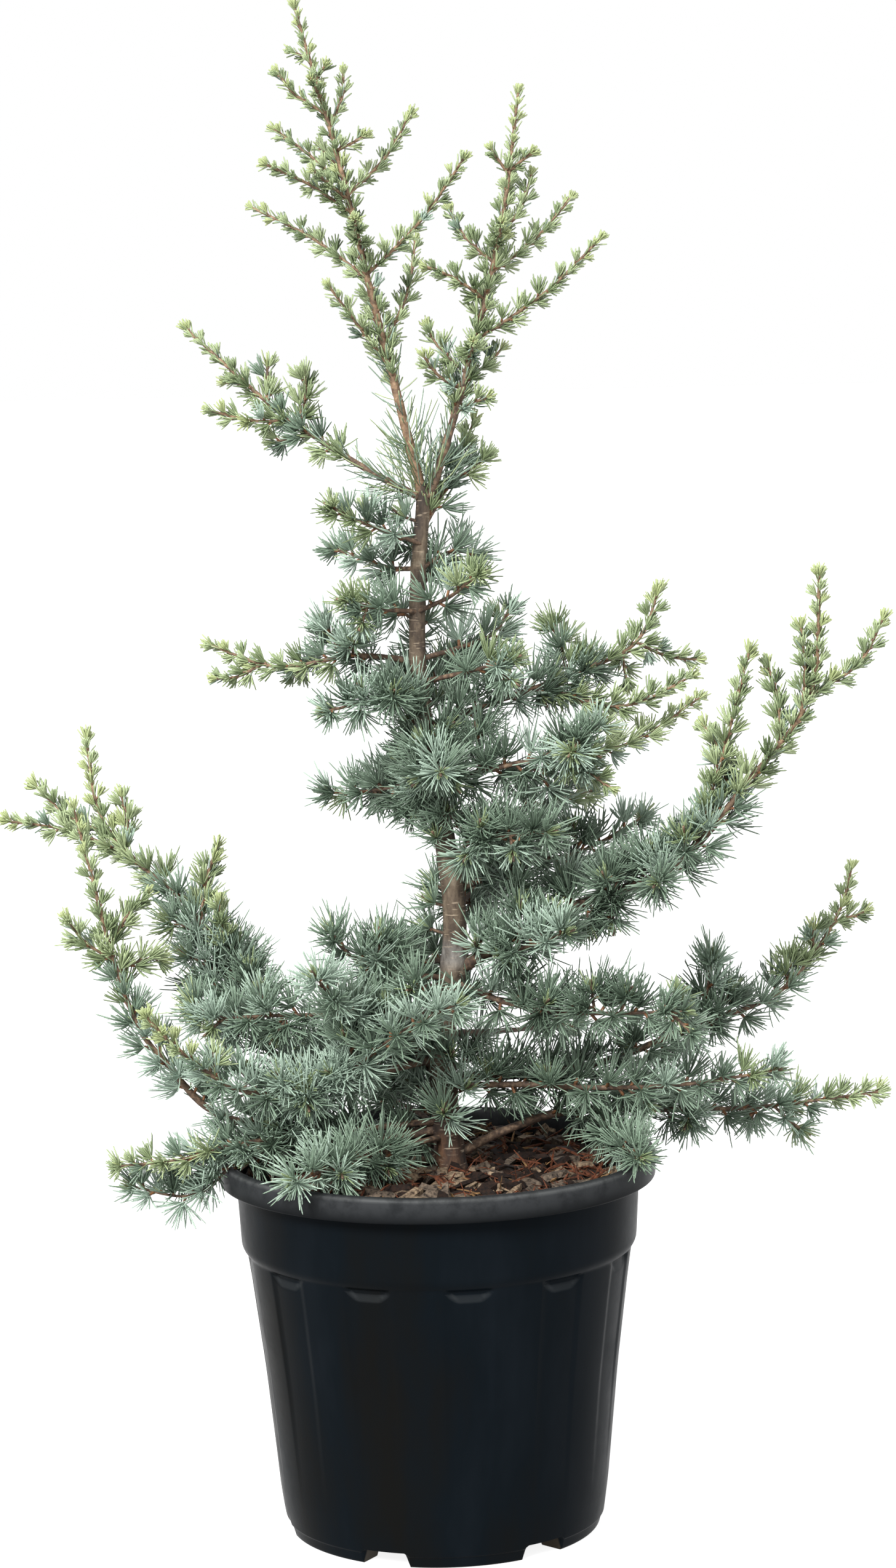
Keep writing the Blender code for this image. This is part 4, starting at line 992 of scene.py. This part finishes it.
def build_crown():
    """Limbs, twigs and needles, gathered into a few meshes that replace the plain ones."""
    bark = [limb_bark(*look) for look in LIMB_BARKS]
    leaves = [needle_material(name) for name in PAINT_NAMES]
    bag = Bag()
    growth = Growth(bag, SEED)
    grow_trunk_shoots(growth)
    needles = growth.needles
    masses = []
    number = 1
    for index, limb in enumerate(LIMBS):
        growth = Growth(bag, SEED * 1000 + index)
        grow_limb(growth, limb)
        if needles.count + growth.needles.count > PIECE_NEEDLES:
            needles.piece(f"needles_{number}", leaves, masses)
            needles = Needles()
            masses = []
            number += 1
        needles.take(growth.needles)
        masses.append("foliage_" + limb.name)
    needles.piece(f"needles_{number}", leaves, masses)
    bag.piece("limbs_and_twigs", bark, ["bough_" + limb.name for limb in LIMBS if limb.bare], "bark")


def build_trunk():
    """The trunk's bark, with long fissures, low rings, and a collar where each limb leaves it."""
    centres = Path(trunk_line).at(np.linspace(0.0, 1.0, TRUNK_BARK_RINGS))
    radii = trunk_at(centres[:, 2])[1]
    collars = []
    for limb in LIMBS:
        run = limb_path(limb)
        start = run.at(0.0)
        if start[2] < COLLARS_BELOW:
            way = run.at(COLLAR_REACH / run.length) - start
            collars.append((start[2] + way[2], math.atan2(way[1], way[0]), limb.radius))

    def relief(ring, angles):
        height = centres[ring][2]
        skin = []
        for a in angles:
            x, y = math.cos(a), math.sin(a)
            lumps = 0.05 * noise.noise((x * 1.3, y * 1.3, height / 26.0))
            fissure = abs(noise.noise((x * 4.2, y * 4.2, height / 21.0)))
            rings = noise.noise((x * 1.8 + 9.0, y * 1.8, height / 1.9))
            skin.append(lumps - 0.14 * max(0.0, 0.35 - fissure) + 0.022 * rings)
        skin = np.array(skin)
        for level, turn, thick in collars:
            off = np.abs((angles - turn + math.pi) % math.tau - math.pi) * radii[ring]
            away = np.hypot(off, height - level) / (1.5 * thick + 1.5)
            skin = skin + 0.30 * thick / radii[ring] * np.exp(-away**2)
        return skin

    points, triangles = tube(centres, radii, TRUNK_BARK_SIDES, relief)
    points[:TRUNK_BARK_SIDES, 2] = trunk_line[0, 2]
    mesh_piece("trunk_bark_mesh", points, triangles, [trunk_bark()], 0, ["trunk"])


# Pot

# A corner of an outline: its radius and height, how far it is rounded off, and the length of the pieces
# that the run up to it is split into
Corner = namedtuple("Corner", "radius height cut step", defaults=(0.0, 6.0))


def softened(rows):
    """An outline from rows of corners, with these rounded off and its long runs split up."""
    corners = [Corner(*row) for row in rows]
    outline = []
    for index, corner in enumerate(corners):
        place = np.array(corner[:2])
        if corner.cut == 0.0:
            outline.append((place, corner.step))
            continue
        before = np.array(corners[index - 1][:2])
        after = np.array(corners[index + 1][:2])
        start = place + unit(before - place) * corner.cut
        end = place + unit(after - place) * corner.cut
        for t in np.linspace(0.0, 1.0, 5):
            outline.append((start * (1 - t) ** 2 + place * 2 * t * (1 - t) + end * t**2, corner.step))
    fine = [outline[0][0]]
    for point, step in outline[1:]:
        last = fine[-1]
        pieces = max(1, int(np.linalg.norm(point - last) / step))
        fine += [blend(last, point, (k + 1) / pieces) for k in range(pieces)]
    return np.array(fine)


def turned_piece(name, outline, angles, warp, material, replaced):
    """A closed solid of revolution with its skin moved by WARP(angle, radius, height)."""
    inner = outline[1:-1]
    steps = len(angles)
    angle, radius = np.meshgrid(angles, inner[:, 0])
    height = np.repeat(inner[:, 1:], steps, axis=1)
    radius, height = warp(angle, radius, height)
    points = np.stack([radius * np.cos(angle), radius * np.sin(angle), height], axis=-1).reshape(-1, 3)
    ends = np.array([(0.0, 0.0, outline[0, 1]), (0.0, 0.0, outline[-1, 1])])
    triangles = closed_triangles(len(inner), steps)
    points = np.concatenate([points, ends])
    return mesh_piece(name, points, triangles[:, ::-1], [material], 0, replaced)


def degrees_off(angle, first, count):
    """How many degrees each angle is from the nearest of COUNT evenly set places, one at FIRST."""
    pitch = 360.0 / count
    return np.abs((np.degrees(angle) - first + pitch / 2) % pitch - pitch / 2)


def pot_angles():
    """Angles round the pot, closer together at the sides of the flutes and of the gaps."""
    angles = list(np.arange(0.0, 360.0, ANGLE_STEP))
    for first, count, lines in ((FLUTE_TURN, FLUTES, FLUTE_LINES), (FOOT_GAP_TURN, FEET, FOOT_GAP_LINES)):
        for index in range(count):
            middle = first + index * 360.0 / count
            angles += [middle + line for line in lines] + [middle - line for line in lines]
    angles = np.sort(np.array(angles) % 360.0)
    apart = np.diff(np.append(angles, angles[0] + 360.0))
    return np.radians(angles[apart > CLOSEST_LINES])


def pot_warp(angle, radius, height):
    """Presses the flutes and their heads into the outer wall and cuts the gaps between the feet."""
    outer = np.interp(height, (WALL_FOOT, WALL_MIDDLE, WALL_TOP, COLLAR_FOOT),
                      (WALL_FOOT_RADIUS, WALL_MIDDLE_RADIUS, WALL_TOP_RADIUS, WALL_TOP_RADIUS + 2.5))
    is_wall = (np.abs(radius - outer) < WALL_BAND) & (height < HEAD_TOP) & (height > WALL_FOOT)
    off = degrees_off(angle, FLUTE_TURN, FLUTES)
    flute = np.clip((FLUTE_HALF - off) / FLUTE_EDGE + 0.5, 0.0, 1.0)
    flute = flute * np.clip((HEAD_TOP - height) / FLUTE_FADE[1], 0.0, 1.0)
    flute = flute * np.clip((height - WALL_FOOT) / FLUTE_FADE[0], 0.0, 1.0)
    head = np.interp(height, (HEAD_FOOT, HEAD_MIDDLE, HEAD_TOP), (0.0, 1.0, 0.0))
    half = np.interp(height, (HEAD_FOOT, HEAD_MIDDLE), HEAD_HALF)
    head = head * np.clip((half - off) / HEAD_EDGE + 0.5, 0.0, 1.0)
    radius = np.where(is_wall, radius - FLUTE_DEPTH * flute - HEAD_DEPTH * head, radius)
    off = degrees_off(angle, FOOT_GAP_TURN, FEET)
    roof, ground = FOOT_GAP_HALF
    rise = FOOT_GAP_RISE * np.clip((ground - off) / (ground - roof), 0.0, 1.0)
    is_foot = (radius > FOOT_RING_INNER - 3.0) & (height < FLOOR_UNDER)
    return radius, np.where(is_foot, rise + height * (1.0 - rise / FLOOR_UNDER), height)


def build_pot():
    outline = softened([
        (0.0, FLOOR_TOP), (FLOOR_RADIUS, FLOOR_TOP, 2.0, 60.0), (140.5, 214.0, 1.5, 40.0),
        (146.5, 222.0, 1.5), (149.8, 271.0, 1.0, 20.0), (157.5, POT_HEIGHT, 2.2),
        (LIP_RADIUS, POT_HEIGHT - 0.6, 3.6), (LIP_RADIUS - 0.3, LIP_FOOT, 1.6),
        (COLLAR_TOP_RADIUS, LIP_FOOT - 1.0, 1.2), (149.6, COLLAR_FOOT + 1.5, 4.0),
        (146.0, COLLAR_FOOT - 3.0, 1.6), (142.9, 195.0, 0.0, 1.5),
        (WALL_MIDDLE_RADIUS, WALL_MIDDLE, 12.0, 9.0), (WALL_FOOT_RADIUS, WALL_FOOT, 8.0, 9.0),
        (STEP_TOP_RADIUS, STEP_TOP, 0.5), (STEP_TOP_RADIUS - 1.3, STEP_TOP - 1.0, 0.5, 2.0),
        (BASE_RADIUS, 0.0, 2.0, 2.0), (FOOT_RING_INNER, 0.0, 1.0),
        (FOOT_RING_INNER - 1.0, FLOOR_UNDER, 1.0), (PAD_RADIUS + 1.0, FLOOR_UNDER, 1.0, 40.0),
        (PAD_RADIUS, 0.0, 1.0), (0.0, 0.0, 0.0, 20.0),
    ])
    pot = turned_piece("pot_shell", outline, pot_angles(), pot_warp, pot_plastic(), ["pot"])
    pot.data.set_sharp_from_angle(angle=SHARP)


# Mulch

CHIPS = 320
CHIP_SIZES = ((13.0, 32.0), (9.0, 16.0), (5.0, 10.0))
CHIP_ROUGH = 0.06            # of the corners' places, as a share of the size
CHIP_TILTS = (0.35, 0.30)    # in radians, about both level axes
CHIP_LIFT = (1.0, 6.5)       # of their middles over the bed
CHIP_REACH = 138.0           # how far out their middles are scattered
CHIP_EDGE = 146.5            # how far out they end
SHREDS = 650
SHRED_HALF = (5.0, 17.0)     # half their length
SHRED_RADIUS = (0.45, 1.15)
SHRED_TILT = 0.42
SHRED_LIFT = (3.0, 9.5)
SHRED_REACH = 140.0
SHRED_EDGE = 147.0
TRUNK_GAP = 19.0             # how near their middles come to the trunk's


def bed_height(x, y):
    """The mulch's uneven top, in millimetres over MULCH_TOP."""
    return (2.0 * noise.noise((x / 45.0, y / 45.0, 3.0)) + 1.4 * noise.noise((x / 14.0, y / 14.0, 8.0))
            - 1.0)


def mulch_warp(angle, radius, height):
    is_top = height > MULCH_TOP - 4.0
    x, y = radius * np.cos(angle), radius * np.sin(angle)
    lift = np.array([bed_height(a, b) for a, b in zip(x.ravel(), y.ravel())]).reshape(x.shape)
    return radius, np.where(is_top, height + lift, height)


def build_bed():
    outline = softened([
        (0.0, MULCH_TOP), (75.0, MULCH_TOP, 8.0), (148.6, MULCH_TOP - 2.0, 1.0),
        (145.8, 222.2, 1.0, 20.0), (139.8, 214.2, 1.0),
        (FLOOR_RADIUS - 0.8, FLOOR_TOP + 0.5, 1.0, 60.0), (0.0, FLOOR_TOP + 0.5, 0.0, 60.0),
    ])
    soil = chip_material("mulch_soil", (0.012, 0.007, 0.004), (0.05, 0.03, 0.02))
    angles = np.radians(np.arange(0.0, 360.0, 2 * ANGLE_STEP))
    turned_piece("mulch_bed", outline, angles, mulch_warp, soil, ["mulch"])


def scattered(count, reach, rng):
    """Places over the mulch, evenly drawn, clear of the trunk."""
    places = []
    while len(places) < count:
        radius = reach * math.sqrt(rng.uniform(0.0, 1.0))
        angle = rng.uniform(0.0, math.tau)
        place = (radius * math.cos(angle), radius * math.sin(angle))
        if math.dist(place, trunk_line[0, :2]) > TRUNK_GAP:
            places.append(place)
    return places


def add_chip(bag, template, triangles, x, y, rng):
    """A rough block of bark, pulled in where it would touch the pot."""
    size = np.array([rng.uniform(*span) for span in CHIP_SIZES])
    rough = template + rng.normal(0.0, CHIP_ROUGH, template.shape)
    tilts = [rng.normal(0.0, tilt) for tilt in CHIP_TILTS]
    turn = Euler((*tilts, rng.uniform(0.0, math.tau))).to_matrix()
    points = (rough * size) @ np.array(turn).T
    half = np.hypot(points[:, 0], points[:, 1]).max()
    pull = min(1.0, (CHIP_EDGE - half) / max(1.0, math.hypot(x, y)))
    height = MULCH_TOP + bed_height(x, y) + rng.uniform(*CHIP_LIFT)
    look = int(rng.choice(len(CHIP_SHARES), p=CHIP_SHARES))
    bag.add(points + (x * pull, y * pull, height), triangles, look)


def add_shred(bag, x, y, rng):
    """A thin bent shred, left out where it would touch the pot."""
    half = rng.uniform(*SHRED_HALF)
    turn = rng.uniform(0.0, math.tau)
    pitch = rng.normal(0.0, SHRED_TILT)
    way = np.array((math.cos(turn) * math.cos(pitch), math.sin(turn) * math.cos(pitch), math.sin(pitch)))
    middle = np.array((x, y, MULCH_TOP + bed_height(x, y) + rng.uniform(*SHRED_LIFT)))
    bow = UP * rng.normal(0.0, 0.12) * half + side_of(way, turn) * rng.normal(0.0, 0.1) * half
    centres = np.array([middle + way * half * t + bow * (1.0 - t * t) for t in (-1.0, -0.4, 0.3, 1.0)])
    if np.hypot(centres[:, 0], centres[:, 1]).max() > SHRED_EDGE:
        return
    points, triangles = tube(centres, rng.uniform(*SHRED_RADIUS) * np.array((0.5, 1.0, 0.9, 0.3)), 4)
    bag.add(points, triangles, SHRED_RED if rng.uniform() < RED_SHARE else SHRED_STRAW)


def build_chips():
    """Bark chips and thin shreds, lying over each other on the bed."""
    rng = np.random.default_rng(SEED)
    bag = Bag()
    block = np.array(((-0.5, 0.0, 0.0), (0.05, 0.03, 0.02), (0.5, 0.0, 0.0)))
    template, triangles = tube(block, np.array((0.44, 0.52, 0.40)), 5)
    for x, y in scattered(CHIPS, CHIP_REACH, rng):
        add_chip(bag, template, triangles, x, y, rng)
    for x, y in scattered(SHREDS, SHRED_REACH, rng):
        add_shred(bag, x, y, rng)
    chips = bag.piece("bark_chips", [chip_material(*look) for look in MULCH_LOOKS], [], "bark_mulch")
    chips.data.set_sharp_from_angle(angle=SHARP)


# Stage

# Lamps: name, turn in degrees, strength, and the angle that they shine over, in degrees
LAMPS = (
    ("key", (53.0, 0.0, -28.0), 7.0, 22.0),
    ("fill", (58.0, 0.0, 38.0), 1.2, 60.0),
)
FLOOR_SIZE = 60.0


def build_stage():
    bpy.ops.mesh.primitive_plane_add(size=FLOOR_SIZE)
    floor = bpy.context.object
    floor.name = "floor"
    made, shader = new_material("pale_floor", (0.52, 0.52, 0.52), 0.9, 0.1)
    shader.inputs["Emission Color"].default_value = (1.0, 1.0, 1.0, 1.0)
    shader.inputs["Emission Strength"].default_value = 0.86
    floor.data.materials.append(made)
    world = bpy.data.worlds.new("studio")
    world.use_nodes = True
    sky = world.node_tree.nodes["Background"].inputs
    sky["Color"].default_value = (1.0, 1.0, 1.0, 1.0)
    sky["Strength"].default_value = 1.0
    bpy.context.scene.world = world
    bpy.context.scene.view_settings.view_transform = "Standard"
    for name, turn, power, spread in LAMPS:
        data = bpy.data.lights.new(name, "SUN")
        data.energy = power
        data.angle = math.radians(spread)
        new_object(name, data).rotation_euler = [math.radians(t) for t in turn]


def build_camera():
    data = bpy.data.cameras.new("photo_camera")
    data.lens = CAMERA_LENS
    data.clip_end = 200.0
    camera = new_object("photo_camera", data)
    turn = Euler((CAMERA_PITCH, 0.0, 0.0)).to_matrix() @ Matrix.Rotation(CAMERA_ROLL, 3, "Z")
    camera.matrix_world = Matrix.Translation(CAMERA_PLACE) @ turn.to_4x4()
    bpy.context.scene.camera = camera


build_stage()
build_camera()
build_pot()
build_bed()
build_chips()
build_trunk()
build_crown()

bpy.context.view_layer.update()
